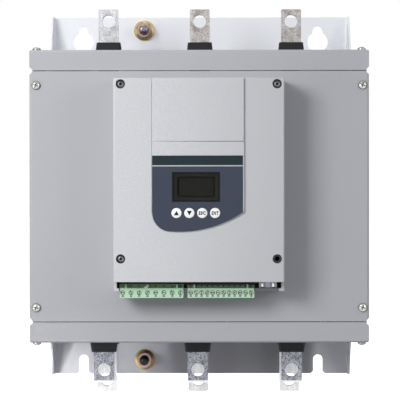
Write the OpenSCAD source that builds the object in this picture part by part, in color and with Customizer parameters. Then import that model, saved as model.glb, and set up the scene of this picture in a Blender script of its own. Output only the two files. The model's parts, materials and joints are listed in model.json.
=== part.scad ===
// Three-phase soft starter for a motor.
// A folded sheet-metal case stands on a mounting plate. It holds a finned heatsink with three
// thyristor modules, their bus bars, current transformers and fans. A control unit with a keypad,
// a display and pluggable terminals is screwed to the front.
// +X is to the viewer's right, +Z is up and the front faces -Y.
// The origin is the centre of the mounting plate's back face.

/* [Mounting plate] */
// Height of the mounting plate
plate_h = 380; // [374:1:400]
// Thickness of the plate's sheet
plate_t = 2; // [1.5:0.5:3]
// Fixing centres from side to side
fix_w = 250; // [220:5:260]
// Fixing centres from top to bottom
fix_h = 350; // [344:1:354]
// Narrow end of a keyhole
keyhole_d = 11; // [8:0.5:12]
// Wide end of a keyhole, which passes the screw's head
keyhole_head_d = 22; // [17:1:24]
// Distance between the centres of a keyhole's two ends
keyhole_drop = 11; // [9:0.5:13]
// Width of the open slots at the bottom
slot_w = 10; // [8:0.5:12]
// Flare at the mouth of a slot
slot_flare = 2.5; // [1:0.5:4]
// Depth of the side flanges at the plate's ends
flange_end = 12; // [8:1:18]
// Full depth of the side flanges
flange_d = 35; // [24:1:45]
// Length over which a side flange tapers
flange_run = 43; // [30:1:50]

/* [Earth studs] */
// Diameter of an earth stud
stud_d = 10; // [8:1:12]
// Length of a stud in front of the plate
stud_len = 20; // [16:1:26]
// Place of the studs, left of the middle
stud_x = 60; // [50:1:65]
// Upper stud, below the plate's top edge
stud_top_in = 14; // [13:1:17]
// Lower stud, above the plate's bottom edge
stud_bottom_in = 15; // [13:1:22]
// Width of the flange nut across its flats
nut_af = 15; // [13:1:16]
// Height of the flange nut
nut_h = 10; // [8:1:11]
// Diameter of the nut's flange
nut_flange_d = 21.8; // [19:0.2:24]

/* [Case] */
// Width of the case
body_w = 320; // [310:5:360]
// Height of the case
body_h = 276; // [270:1:284]
// Depth of the case from the wall to its front
body_d = 220; // [205:5:250]
// Thickness of the case's sheet
sheet_t = 1.5; // [1:0.1:2]
// Outer radius of the folds
fold_r = 2; // [1.5:0.5:3]
// Height of the front flange of the end covers
band_h = 19.3; // [16:0.1:24]
// Seam between the front cover and the end covers
seam = 0.7; // [0.4:0.1:1.2]
// Leg of the cut corners at the seams
notch = 3.4; // [2:0.2:5]
// Reach of the cut corners along the case's sides
notch_d = 26; // [4:1:40]
// Clearance between neighbouring sheets
sheet_gap = 0.3; // [0.2:0.1:0.6]
// Gap between the wall and the back edges of the covers
back_gap = 3; // [2:0.5:6]
// Cable opening behind the control unit, in from the posts above and below it
cable_in = 40; // [20:1:60]
// Width of the returns on the inner frames
frame_return = 12; // [11:0.5:16]

/* [Screws] */
// Diameter of the case screws
screw_d = 4; // [3:0.5:4]
// Diameter of a case screw's head
screw_head_d = 8; // [7:0.2:9]
// Height of a case screw's head
screw_head_h = 3.2; // [2.4:0.1:4]
// Length of a case screw's shank
screw_len = 10; // [8:1:12]
// Radial clearance around screws
screw_gap = 0.25; // [0.15:0.05:0.4]
// Case screws, in from the sides
screw_in_x = 6.2; // [5.8:0.2:7]
// Front cover screws, in from the cover's top and bottom edges
screw_in_z = 13.3; // [10:0.1:20]
// End cover screws, back from the front
end_screw_in = 8; // [7:0.5:14]

/* [Bus bars] */
// Distance between the phases
phase_pitch = 92; // [84:1:96]
// Sideways offset of the bottom bars
bottom_shift = -2; // [-4:0.5:4]
// Width of a bus bar
bar_w = 20; // [16:1:24]
// Thickness of a bus bar
bar_t = 5; // [4:0.5:6]
// Diameter of the hole at a bar's outer end
bar_hole_d = 13; // [9:0.5:13]
// Hole centre from the end of a bar
bar_hole_in = 12; // [10:0.5:16]
// Line bars, reach above the case
line_reach = 50; // [40:1:60]
// Bypass bars, reach below the case
bypass_reach = 59; // [50:1:70]
// Load bars, reach below the case
load_reach = 44.5; // [40:0.5:60]
// Forward step of the load bars
load_step = 45; // [40:1:55]
// Height above the base of the load bars' step
load_step_z = 76; // [70:1:84]
// Corner cut at the outer end of a bar
bar_corner = 1; // [0.5:0.5:3]

/* [Bar shrouds] */
// Height of a top shroud above its cover
shroud_h = 16.7; // [12:0.1:20]
// Height of a bottom shroud around its load bar
load_shroud_h = 14.8; // [12:0.1:20]
// Height of a bottom shroud around its bypass bar
bypass_shroud_h = 11.4; // [8:0.1:20]
// Wall around the bar at a shroud's tip
shroud_wall = 1.6; // [1.4:0.1:2.4]
// Growth of each side from the tip to the base
shroud_draft = 1.7; // [0.5:0.1:2.4]
// Cut along a shroud's upright edges
shroud_chamfer = 1.8; // [1:0.1:2.4]
// Clearance around a bar in its shroud
shroud_gap = 0.4; // [0.3:0.1:0.8]
// Width of a shroud's flange around its neck
shroud_flange = 3; // [2:0.5:5]
// Thickness of a shroud's flange
shroud_flange_t = 2; // [1.5:0.5:3]
// Length of the neck inside the cover
shroud_neck = 3; // [2:0.5:5]

/* [Heatsink and modules] */
// Height of the heatsink
sink_h = 205; // [190:5:210]
// Lower edge of the heatsink above the case's base
sink_lift = 33; // [31:1:36]
// Length of the fins
fin_len = 53; // [46:1:60]
// Thickness of a fin
fin_t = 2.5; // [1.5:0.5:3.5]
// Spacing of the fins
fin_pitch = 10; // [8:0.5:14]
// Thickness of the heatsink's base
sink_base_t = 12; // [10:1:16]
// Gap between the fins and the plate
fin_gap = 3; // [2:0.5:5]
// Width of a thyristor module
module_w = 50; // [46:1:56]
// Length of a thyristor module
module_l = 124; // [120:1:132]
// Height of a module from the heatsink to its terminals
module_h = 30; // [26:1:34]
// Height of a module's terminal pads
pad_h = 2; // [1:0.5:3]
// Distance between a module's two terminals
terminal_span = 80; // [76:1:84]
// Middle of the modules above the case's middle
module_z = 10; // [6:1:14]
// Diameter of the module screws
module_screw_d = 6; // [5:1:6]

/* [Firing board] */
// Space between the load bars and the firing board
power_gap = 23; // [20:1:26]
// Reach of the firing board beyond the outer phases
power_edge = 28; // [24:1:34]
// Lower edge of the firing board below the modules' middle
power_drop = 18; // [14:1:22]
// Upper edge of the firing board below the heatsink's top
power_in = 2; // [1:0.5:6]
// Width of a standoff across its corners
standoff_d = 8; // [6:0.5:10]
// Standoffs, in from the firing board's edges
standoff_in = 10; // [8:0.5:14]
// Width of a pulse transformer
pulse_w = 24; // [18:1:28]
// Length of a pulse transformer
pulse_l = 20; // [16:1:24]
// Height of a pulse transformer
pulse_h = 16; // [12:1:20]
// Pulse transformers, above the firing board's lower edge
pulse_lift = 10; // [4:1:14]
// Width of a gate lead socket
gate_w = 18; // [12:1:22]
// Length of a gate lead socket
gate_l = 8; // [6:1:10]
// Height of a gate lead socket
gate_h = 9; // [6:1:12]
// Gap between a pulse transformer and its gate lead socket
gate_gap = 14; // [6:1:16]
// Diameter of a capacitor
cap_d = 18; // [14:1:20]
// Height of a capacitor
cap_h = 30; // [22:1:32]
// Capacitors to each side of the right standoffs
cap_x = 24; // [18:1:28]
// Capacitors, below the firing board's upper edge
cap_in = 28; // [14:1:30]

/* [Current transformers] */
// Outer diameter of a current transformer
ct_d = 54; // [46:1:58]
// Height of a current transformer
ct_h = 28; // [22:1:32]
// Lower face of a transformer above the inside of the bottom cover
ct_lift = 7; // [5:0.5:12]

/* [Fans] */
// Side of a fan's frame
fan_w = 80; // [76:1:84]
// Height of a fan
fan_h = 25; // [22:1:28]
// Distance of the fans from the middle
fan_x = 70; // [56:1:90]
// Inner wall of a fan's duct at the sides
fan_wall = 2; // [1.5:0.5:3]
// Diameter of a rotor's hub
hub_d = 32; // [26:1:38]
// Diameter of a rotor's shaft
shaft_d = 3; // [2:0.5:4]
// Radial clearance of a shaft in its bearing
shaft_gap = 0.05; // [0.03:0.01:0.08]
// Number of blades
blades = 7; // [5:1:9]

/* [Control unit] */
// Width of the control unit
ctrl_w = 157.2; // [150:0.2:170]
// Top of the control unit above the case's middle
ctrl_top = 108.8; // [106:0.2:112]
// Lower edge of the control unit's front, below the case's middle
ctrl_low = 78.5; // [76:0.5:82]
// Drop of the control unit's legs below its front
leg_drop = 8.9; // [8:0.1:11]
// Depth of the control unit
ctrl_d = 43; // [40:0.5:50]
// Wall of the control unit
ctrl_wall = 2.5; // [2:0.1:3]
// Radius of its outer edges
ctrl_r = 1.5; // [0.5:0.1:2]
// Width of a leg
leg_w = 4.6; // [4:0.2:5]
// Setback of the legs from the front
leg_back = 11; // [1:0.5:12]
// Setback of the bottom wall from the front
ledge_back = 15; // [14:0.5:17]
// Corner screws, in from the sides
corner_in_x = 6.7; // [6:0.1:8]
// Upper corner screws, below the top
corner_in_top = 5.5; // [5.2:0.1:8]
// Lower corner screws, above the front's lower edge
corner_in_low = 21.2; // [18:0.2:26]
// Diameter of a corner screw's recess
recess_d = 8.6; // [8:0.1:9.4]
// Depth of a corner screw's recess
recess_h = 4; // [3:0.5:6]
// Diameter of a corner screw's head
ctrl_head_d = 6.4; // [5.6:0.1:7]
// Thickness of the circuit boards
board_t = 1.6; // [1:0.1:2]
// Control board, in from the corner screws' bosses
board_in = 1; // [0.5:0.5:3]
// Control board, below the inside of the control unit's top
board_top_in = 4; // [3:0.5:6]
// Control board, above the inside of the control unit's bottom
board_low_in = 2; // [1:0.5:4]
// Diameter of the posts that carry the control board
post_d = 6; // [5:0.5:8]
// Posts, in from the control board's sides and top
post_in = 8; // [6:0.5:10]
// Lower posts, below the lower corner screws
post_drop = 8; // [6:0.5:8]
// Width of the supply block on the control board
supply_w = 34; // [20:1:40]
// Length of the supply block on the control board
supply_l = 22; // [16:1:26]
// Height of the supply block on the control board
supply_h = 12; // [8:1:16]
// Side of the processor on the control board
chip_w = 22; // [14:1:28]
// Height of the processor on the control board
chip_h = 4; // [2:0.5:6]
// Width of a relay on the control board
relay_w = 16; // [12:1:18]
// Length of a relay on the control board
relay_l = 28; // [20:1:32]
// Height of a relay on the control board
relay_h = 16; // [12:1:18]
// Supply block, below the upper posts
supply_in = 12; // [8:1:16]
// Processor, below the upper posts
chip_in = 18; // [8:1:20]
// Relays, above the lower posts
relay_lift = 8; // [6:1:12]
// Gap between neighbouring relays
relay_gap = 6; // [3:1:8]
// Control board in front of the case's front cover
board_lift = 4; // [3:0.5:8]

/* [Keypad] */
// Left edge of the keypad column, left of the middle
pad_left = 43; // [40:0.5:46]
// Width of the keypad column
pad_w = 84.3; // [82:0.1:88]
// How far the column stands proud at its left edge
pad_proud = 0.5; // [0.4:0.1:1]
// Turn of the column's face towards the left, in degrees
pad_tilt = 1.15; // [0.5:0.05:2]
// Top of the keypad above the case's middle
hmi_top = 50.2; // [48:0.1:54]
// Gap between the keypad and the blank cover above it
hmi_gap = 0.5; // [0.3:0.1:0.8]
// Lowest point of the keypad below the case's middle
hmi_low = 32.7; // [31:0.1:36]
// Radius of the keypad's lower left corner
hmi_corner_r = 18; // [14:0.5:22]
// Radius of the keypad's lower edge
hmi_sweep_r = 104.5; // [95:0.5:120]
// Place of the keypad's lowest point from its left edge
hmi_sweep_x = 25; // [20:0.5:28]
// Slope of the right side of the column at its foot
pad_draft = 0.6; // [0.5:0.1:2]
// Width of the groove along the column's left side
pad_seam = 0.4; // [0.3:0.1:0.8]
// Depth of that groove
pad_seam_d = 0.8; // [0.4:0.1:1.2]
// Thickness of the keypad's front wall
bezel_t = 2.4; // [2.2:0.1:3]
// Depth of the keypad behind the control unit's front
bezel_d = 13; // [12:0.5:16]
// Thickness of the front film
film_t = 0.5; // [0.3:0.1:0.8]
// Depth of the pocket that holds the front film
film_pocket = 0.3; // [0.2:0.1:0.5]
// Rim between the front film and the column's right side
film_rim = 0.9; // [0.5:0.1:2]
// Top of the front film above the case's middle
film_top = 27.5; // [26:0.1:29]
// Lower edge of the name strip above the case's middle
strip_low = 28.7; // [27.8:0.1:31]
// Height of the name strip
strip_h = 8.7; // [7:0.1:10]
// Width of the display window
window_w = 43.9; // [40:0.1:46]
// Height of the display window
window_h = 27.3; // [24:0.1:29]
// Left edge of the window from the column's left edge
window_x = 18.5; // [16:0.1:22]
// Lower edge of the window below the case's middle
window_low = 4.9; // [4:0.1:6]
// Thickness of the window
window_t = 1.5; // [1.2:0.1:2]
// Lip behind the window
window_lip = 1.2; // [0.8:0.1:2]
// Clearance around the window
window_gap = 0.15; // [0.1:0.05:0.3]
// Width of the display behind the window
display_w = 30.8; // [26:0.1:36]
// Height of the display behind the window
display_h = 16.1; // [12:0.1:20]
// Depth of the display's block
display_d = 6; // [5:0.5:7]
// Diameter of a key
key_d = 9.3; // [8:0.1:10]
// Distance between the keys
key_pitch = 11.8; // [11.6:0.1:13]
// First key from the column's left edge
key_x = 22.5; // [20:0.1:25]
// Keys below the case's middle
key_low = 15.2; // [14.4:0.1:17]
// How far a key stands proud of the film
key_proud = 0.6; // [0.4:0.1:1]
// Radial clearance of a key
key_gap = 0.2; // [0.15:0.05:0.3]
// Travel of a key
key_travel = 0.8; // [0.4:0.1:1]
// Growth of a key's flange
key_flange = 0.9; // [0.6:0.1:1.1]

/* [Terminals] */
// Ways of the relay plug
relay_ways = 8; // [6:1:8]
// Pitch of the relay plug
relay_pitch = 7.62; // [6.6:0.01:7.62]
// Ways of the signal plug
signal_ways = 12; // [9:1:12]
// Pitch of the signal plug
signal_pitch = 5.08; // [4:0.01:5.08]
// First way of the relay plug, from the control unit's left side
relay_in = 8; // [7:0.1:8]
// First way of the signal plug, right of the case's middle
signal_x = -7.7; // [-8.5:0.1:-7]
// Plastic outside the first and last way
way_edge = 2.8; // [2.7:0.1:3.2]
// Height of a plug below the headers
plug_h = 9.1; // [8:0.1:10]
// Thickness of a plug from front to back
plug_d = 12; // [11:0.5:12]
// Length of a plug's tongue inside its header
tongue_l = 6; // [5:0.5:7]
// Thickness of a plug's tongue
tongue_t = 4.6; // [4:0.1:5]
// Clearance of a tongue in its header
tongue_gap = 0.4; // [0.3:0.05:0.6]
// Diameter of a clamping screw
clamp_d = 3.8; // [3:0.1:4]
// Width of a contact pin
pin_w = 0.9; // [0.7:0.1:1.1]
// Clearance around a contact pin in its plug
pin_gap = 0.6; // [0.4:0.1:0.8]
// Drop of the headers below the control unit's front
header_drop = 6; // [5:0.5:6.5]
// Height of a header
header_h = 14.5; // [12:0.5:16]
// Setback of the headers' faces from the plugs' faces
header_set = 3; // [2.6:0.1:4]
// How far the opening for a plug reaches behind it
header_behind = 2; // [1.6:0.1:2.4]
// Wall of a header behind its plug's tongue, from the opening's back
tongue_back = 2.2; // [2:0.1:2.6]
// Tongue, in from a plug's ends
tongue_in = 1.4; // [1.2:0.1:2]
// Space above a tongue in its header
tongue_tip = 1; // [0.6:0.1:1.4]
// Plastic of a header beyond its plug's ends
header_side = 0.4; // [0.2:0.1:0.5]
// How much shorter a contact pin is than a tongue
pin_short = 2; // [1.5:0.1:3]
// Root of a contact pin in its header
pin_root = 0.5; // [0.3:0.1:1]
// Height of the lip along a header's front
lip_h = 3.4; // [3:0.1:6]
// Wall of a header above its lip, in front of its plug's tongue
lip_wall = 0.8; // [0.5:0.1:0.8]
// Diameter of the dimples along a header
dimple_d = 1.5; // [0.8:0.1:1.6]
// Depth of the dimples along a header
dimple_h = 0.8; // [0.4:0.1:1]
// Dimples, above a header's lower edge
dimple_lift = 1.5; // [1:0.5:3]
// Faces of the plugs in front of the control unit's bottom wall
plug_ahead = 2; // [1:0.5:3]
// Depth of a clamping screw in its plug
clamp_deep = 7; // [5:0.5:7.5]
// How far a clamping screw lies below the plug's face
clamp_sunk = 1.1; // [0.2:0.1:1.6]
// Length of the ribs that lead a plug along its header
rib_l = 3.5; // [3:0.5:6]
// Width of those ribs
rib_w = 1.5; // [1:0.1:2]
// Setback of those ribs from the plug's face
rib_set = 0.6; // [0.3:0.1:1]

/* [Serial socket] */
// Width of the socket
socket_w = 16.4; // [15:0.2:17]
// Depth of the socket's mouth
socket_mouth_d = 8; // [7:0.5:9]
// Width of the socket's mouth
socket_mouth_w = 12; // [11:0.5:13]
// Right side of the socket, in from the control unit's right side
socket_in = 6.6; // [6:0.2:7]
// Height of the socket
socket_h = 15.6; // [14:0.2:16]
// Setback of the socket's face behind the control unit's bottom wall
socket_set = 2; // [1:0.5:3]
// Wall of the socket above its mouth
socket_roof = 3; // [2:0.5:5]
// Wall of the socket in front of its mouth
socket_wall = 4.5; // [3:0.5:5]

/* [Hidden] */

$fn = 48;
// Overshoot of a cutter past the face that it opens
cut = 1;

// Case faces
case_x = body_w / 2;
case_z = body_h / 2;
inner_x = case_x - sheet_t;
inner_z = case_z - sheet_t;
inner_d = body_d - sheet_t;
cover_z = case_z - band_h - seam;
seam_z = cover_z + seam / 2;
plate_x = inner_x - sheet_gap;

// Inner frames
frame_d = inner_d - sheet_gap;
frame_z = inner_z - sheet_gap;
frame_out = inner_x - 2 * sheet_gap;
frame_in = frame_out - frame_return;
end_return = 40;

// Screw places on the case
screw_x = case_x - screw_in_x;
screw_z = cover_z - screw_in_z;
end_screw_d = body_d - end_screw_in;

// Heatsink, module and bar planes, as depths in front of the wall
fin_d = plate_t + fin_gap;
sink_d = fin_d + fin_len + sink_base_t;
sink_z = -case_z + sink_lift;
terminal_d = sink_d + module_h;
line_d = terminal_d + bar_t;
load_d = terminal_d + 2 * bar_t;
load_front_d = terminal_d + load_step + 2 * bar_t;
upper_terminal_z = module_z + terminal_span / 2;
lower_terminal_z = module_z - terminal_span / 2;
bar_overlap = 15;
step_z = -case_z + load_step_z;
bypass_mid_d = terminal_d + bar_t / 2;
load_mid_d = load_front_d - bar_t / 2;
function phase_x(i) = (i - 2) * phase_pitch;
function bottom_x(i) = phase_x(i) + bottom_shift;

// Shroud section at its tip and base
tip_w = bar_w + 2 * (shroud_gap + shroud_wall);
tip_d = bar_t + 2 * (shroud_gap + shroud_wall);
base_w = tip_w + 2 * shroud_draft;
base_d = tip_d + 2 * shroud_draft;
neck_cut = 2 * sheet_gap;

// Fans
fan_back = 4;
fan_mid_d = plate_t + fan_back + fan_w / 2;
fan_z = -inner_z;
bearing_wall = 3;
rotor_gap = 1.5;
motor_plate = 3;

// Control unit planes
ctrl_front = body_d + ctrl_d;
ctrl_x = ctrl_w / 2;
ctrl_bottom = -ctrl_low - leg_drop;
ctrl_inner_front = ctrl_front - ctrl_wall;
ledge_d = ctrl_front - ledge_back;
corner_x = ctrl_x - corner_in_x;
corner_top_z = ctrl_top - corner_in_top;
corner_low_z = -ctrl_low + corner_in_low;
boss_wall = 0.8;
corner_boss_d = recess_d + 2 * boss_wall;
board_d = body_d + board_lift;
board_front = board_d + board_t;
board_x = corner_x - corner_boss_d / 2 - board_in;
board_top = ctrl_top - ctrl_wall - board_top_in;
board_low = ctrl_bottom + ctrl_wall + board_low_in;
post_x = board_x - post_in;
post_top_z = board_top - post_in;
post_low_z = corner_low_z - post_drop;

// Terminals
plug_front = ledge_d + plug_ahead;
plug_back = plug_front - plug_d;
header_front = plug_front - header_set;
header_back = plug_back - header_behind;
header_low = -ctrl_low - header_drop;
header_top = header_low + header_h;
plug_seat = header_low - sheet_gap;
tongue_mid = header_back + tongue_back + tongue_gap + tongue_t / 2;
pin_l = tongue_l - pin_short;
relay_x = -ctrl_x + relay_in;
function block_w(ways, pitch) = (ways - 1) * pitch + 2 * way_edge;

// Serial socket
socket_x = ctrl_x - socket_in - socket_w / 2;
socket_front = ledge_d - socket_set;
socket_mouth_mid = socket_front - socket_wall - socket_mouth_d / 2;

// Keypad
film_x = 0.3;
skirt_x0 = key_x - key_pitch - 3;
skirt_x1 = window_x + window_w + 2.6;
skirt_top = hmi_top - 4;
skirt_wall = 1.5;
flange_gap = 0.4;
skirt_low = -key_low - key_d / 2 - key_flange - flange_gap - skirt_wall;
skirt_gap = 0.5;
bezel_front = pad_proud;
film_front = bezel_front - film_pocket + film_t;
bezel_inside = bezel_front - bezel_t;
key_gap_back = 0.2;
window_front = film_front;
display_back = bezel_inside - 1.2 - display_d;
pad_board_front = display_back;

// Boxes, rods and outlines
module slab(x0, x1, d0, d1, z0, z1) {
    translate([x0, -d1, z0]) cube([x1 - x0, d1 - d0, z1 - z0]);
}

module mid_slab(x, w, d0, d1, z0, z1) {
    slab(x - w / 2, x + w / 2, d0, d1, z0, z1);
}

module rod(x, z, d0, d1, dia) {
    translate([x, -d0, z]) rotate([90, 0, 0]) cylinder(d = dia, h = d1 - d0);
}

module post(x, d, z0, z1, dia) {
    translate([x, -d, z0]) cylinder(d = dia, h = z1 - z0);
}

// Extrudes an outline drawn in x and z from depth d0 to depth d1
module face_plate(d0, d1) {
    translate([0, -d0, 0]) rotate([90, 0, 0]) linear_extrude(d1 - d0) children();
}

// Extrudes an outline drawn in depth and z from x0 to x1
module side_plate(x0, x1) {
    translate([x0, 0, 0]) rotate([90, 0, 90]) linear_extrude(x1 - x0) mirror([1, 0]) children();
}

// Extrudes an outline drawn in x and depth from z0 to z1
module floor_plate(z0, z1) {
    translate([0, 0, z0]) linear_extrude(z1 - z0) mirror([0, 1]) children();
}

module mirror_x() {
    children();
    mirror([1, 0, 0]) children();
}

module four_corners(x, z) {
    for (sx = [-1, 1], sz = [-1, 1]) translate([sx * x, 0, sz * z]) children();
}

// Rectangle with its two upper corners rounded
module round_top(x0, x1, y0, y1, r) {
    translate([x0, y0]) square([x1 - x0, y1 - y0 - r]);
    translate([x0 + r, y0]) square([x1 - x0 - 2 * r, y1 - y0]);
    for (x = [x0 + r, x1 - r]) translate([x, y1 - r]) circle(r);
}

// Rectangle with its last corner rounded
module round_one(x0, x1, y0, y1, r) {
    translate([x0, y0]) square([x1 - x0 - r, y1 - y0]);
    translate([x0, y0]) square([x1 - x0, y1 - y0 - r]);
    translate([x1 - r, y1 - r]) circle(r);
}

// Screw along +Z with its head above zero: a domed head with a cross and a slot
module pan_screw(dia, len, head_d, head_h) {
    dome_r = head_d * 0.72;
    slot_w = head_d * 0.13;
    slot_h = head_h * 0.55;
    difference() {
        union() {
            translate([0, 0, -len]) cylinder(d = dia, h = len);
            intersection() {
                cylinder(d = head_d, h = head_h);
                translate([0, 0, head_h - dome_r]) sphere(dome_r);
            }
        }
        for (a = [0, 90]) rotate(a) translate([-head_d * 0.3, -slot_w / 2, head_h - slot_h])
            cube([head_d * 0.6, slot_w, slot_h + cut]);
        translate([-head_d, -slot_w / 2, head_h - slot_h * 0.6]) cube([2 * head_d, slot_w, slot_h + cut]);
    }
}

// Places a screw so that its head faces forward at depth d
module front_screw(x, d, z, dia, len, head_d, head_h) {
    translate([x, -d, z]) rotate([90, 20, 0]) pan_screw(dia, len, head_d, head_h);
}

// Mounting plate
module flange_taper() {
    polygon([
        [0, -plate_h / 2], [flange_end, -plate_h / 2], [flange_d, -plate_h / 2 + flange_run],
        [flange_d, plate_h / 2 - flange_run], [flange_end, plate_h / 2], [0, plate_h / 2]
    ]);
}

module keyhole() {
    rod(0, 0, -cut, plate_t + cut, keyhole_d);
    rod(0, -keyhole_drop, -cut, plate_t + cut, keyhole_head_d);
    mid_slab(0, keyhole_d, -cut, plate_t + cut, -keyhole_drop, 0);
}

module open_slot() {
    mouth = plate_h / 2 - fix_h / 2;
    rod(0, 0, -cut, plate_t + cut, slot_w);
    mid_slab(0, slot_w, -cut, plate_t + cut, -mouth - cut, 0);
    face_plate(-cut, plate_t + cut) polygon([
        [-slot_w / 2, -mouth + slot_flare], [slot_w / 2, -mouth + slot_flare],
        [slot_w / 2 + slot_flare, -mouth], [slot_w / 2 + slot_flare, -mouth - cut],
        [-slot_w / 2 - slot_flare, -mouth - cut], [-slot_w / 2 - slot_flare, -mouth]
    ]);
}

module mounting_plate() {
    color("aliceblue") difference() {
        intersection() {
            floor_plate(-plate_h / 2, plate_h / 2) difference() {
                mirror([0, 1]) translate([0, -flange_d])
                    round_top(-plate_x, plate_x, 0, flange_d, fold_r + plate_t);
                mirror([0, 1]) translate([0, -flange_d - cut])
                    round_top(-plate_x + plate_t, plate_x - plate_t, 0, flange_d + cut - plate_t, fold_r);
            }
            side_plate(-plate_x - cut, plate_x + cut) flange_taper();
        }
        for (sx = [-1, 1]) {
            translate([sx * fix_w / 2, 0, fix_h / 2]) keyhole();
            translate([sx * fix_w / 2, 0, -fix_h / 2]) open_slot();
        }
        for (z = [plate_h / 2 - stud_top_in, -plate_h / 2 + stud_bottom_in])
            rod(-stud_x, z, -cut, plate_t + cut, stud_d);
    }
}

// Earth studs, pressed into the plate, and their flange nuts
module earth_studs() {
    color("dimgray") for (z = [plate_h / 2 - stud_top_in, -plate_h / 2 + stud_bottom_in])
        rod(-stud_x, z, 0, plate_t + stud_len, stud_d);
}

module flange_nut() {
    flange_t = 2;
    cone_h = 1.8;
    difference() {
        union() {
            cylinder(d = nut_flange_d, h = flange_t);
            translate([0, 0, flange_t]) cylinder(d1 = nut_flange_d - 1, d2 = nut_af, h = cone_h);
            intersection() {
                cylinder(d = nut_af / cos(30), h = nut_h, $fn = 6);
                translate([0, 0, -cut]) cylinder(d1 = nut_af * 2, d2 = nut_af * 0.98, h = nut_h + cut);
            }
        }
        translate([0, 0, -cut]) cylinder(d = stud_d + 2 * screw_gap, h = nut_h + 2 * cut);
    }
}

module earth_nuts() {
    color("gold") for (z = [plate_h / 2 - stud_top_in, -plate_h / 2 + stud_bottom_in])
        translate([-stud_x, -plate_t, z]) rotate([90, 15, 0]) flange_nut();
}

// Inner frames: folded uprights with returns that take the cover screws
module frame_side() {
    difference() {
        union() {
            slab(frame_in, frame_in + sheet_t, plate_t, frame_d, -frame_z, frame_z);
            slab(frame_in, plate_x - plate_t - fold_r - sheet_gap, plate_t, plate_t + sheet_t,
                 -frame_z, frame_z);
            slab(frame_in, frame_out, frame_d - sheet_t, frame_d, -frame_z, frame_z);
            for (z = [-frame_z, frame_z - sheet_t])
                slab(frame_in, frame_out, frame_d - end_return, frame_d, z, z + sheet_t);
        }
        for (z = [-screw_z, screw_z])
            rod(screw_x, z, frame_d - sheet_t - cut, frame_d + cut, screw_d + 2 * screw_gap);
        for (z = [-frame_z - cut, frame_z - sheet_t - cut])
            post(screw_x, end_screw_d, z, z + sheet_t + 2 * cut, screw_d + 2 * screw_gap);
        for (z = [-seam_z, seam_z])
            slab(case_x - notch - sheet_gap, frame_out + cut, frame_d - sheet_t - cut, frame_d + cut,
                 z - notch - seam, z + notch + seam);
    }
}

module left_frame() {
    color("silver") mirror([1, 0, 0]) frame_side();
}

module right_frame() {
    color("silver") frame_side();
}

// Corner cuts where the front cover and the end covers meet
module seam_notch(edge, inward) {
    mirror_x() face_plate(body_d - notch_d, body_d + cut) polygon([
        [case_x - notch - cut, edge - inward * cut], [case_x + cut, edge + inward * (notch + cut)],
        [case_x + cut, edge - inward * cut]
    ]);
}

// Front cover: one sheet folded round the front and both sides
module front_cover() {
    color("darkgray") difference() {
        floor_plate(-cover_z, cover_z) difference() {
            round_top(-case_x, case_x, back_gap, body_d, fold_r);
            round_top(-inner_x, inner_x, back_gap - cut, inner_d, fold_r - sheet_t / 2);
        }
        four_corners(screw_x, screw_z) rod(0, 0, inner_d - cut, body_d + cut, screw_d + 2 * screw_gap);
        for (x = [-corner_x, corner_x], z = [corner_low_z, corner_top_z])
            rod(x, z, inner_d - cut, body_d + cut, screw_d + 2 * screw_gap);
        slab(-post_x, post_x, inner_d - cut, body_d + cut, post_low_z + cable_in, post_top_z - cable_in);
        seam_notch(cover_z, -1);
        seam_notch(-cover_z, 1);
    }
}

// End covers: a panel with a front flange and two side flanges
module cover_shell() {
    low = case_z - band_h;
    difference() {
        intersection() {
            side_plate(-case_x, case_x) round_one(back_gap, body_d, low, case_z, fold_r);
            face_plate(0, body_d) round_top(-case_x, case_x, low, case_z, fold_r);
        }
        slab(-inner_x, inner_x, back_gap - cut, inner_d, low - cut, inner_z);
        mirror_x() slab(plate_x - plate_t - sheet_gap, inner_x, -cut, flange_d + sheet_gap,
                        low, case_z + cut);
        mirror_x() post(screw_x, end_screw_d, inner_z - cut, case_z + cut, screw_d + 2 * screw_gap);
        seam_notch(low, 1);
    }
}

module shroud_hole(x, d) {
    mid_slab(x, tip_w + neck_cut, d - tip_d / 2 - neck_cut / 2, d + tip_d / 2 + neck_cut / 2,
             inner_z - cut, case_z + cut);
}

module vent_slot(x) {
    slot = fin_pitch * 0.5;
    d0 = fin_d + slot / 2 + 3;
    d1 = fin_d + fin_len - slot / 2;
    mid_slab(x, slot, d0, d1, inner_z - cut, case_z + cut);
    for (d = [d0, d1]) post(x, d, inner_z - cut, case_z + cut, slot);
}

module top_cover() {
    vents = floor((frame_in - 20) / fin_pitch);
    color("darkgray") difference() {
        cover_shell();
        for (i = [1 : 3]) shroud_hole(phase_x(i), bypass_mid_d);
        for (i = [-vents : vents]) vent_slot((i + 0.5) * fin_pitch - fin_pitch / 2);
    }
}

// Finger guard stamped into the bottom cover under a fan
module fan_guard() {
    ring = 3;
    gap_w = 5;
    first = 9;
    rings = floor((fan_w / 2 - fan_wall - first) / (ring + gap_w));
    difference() {
        for (k = [0 : rings - 1]) difference() {
            r = first + k * (ring + gap_w);
            translate([0, 0, inner_z - cut]) cylinder(r = r + gap_w, h = sheet_t + 2 * cut);
            translate([0, 0, inner_z - 2 * cut]) cylinder(r = r, h = sheet_t + 4 * cut);
        }
        for (a = [45, 135]) rotate(a) translate([-fan_w, -ring / 2, inner_z - 2 * cut])
            cube([2 * fan_w, ring, sheet_t + 4 * cut]);
    }
}

module bottom_cover() {
    color("darkgray") mirror([0, 0, 1]) difference() {
        cover_shell();
        for (i = [1 : 3]) {
            shroud_hole(bottom_x(i), bypass_mid_d);
            shroud_hole(bottom_x(i), load_mid_d);
        }
        mirror_x() translate([fan_x, -fan_mid_d, 0]) fan_guard();
    }
}

// Cover screws
module front_cover_screws() {
    color("gainsboro") for (sx = [-1, 1], sz = [-1, 1])
        front_screw(sx * screw_x, body_d, sz * screw_z, screw_d, screw_len, screw_head_d, screw_head_h);
}

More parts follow.
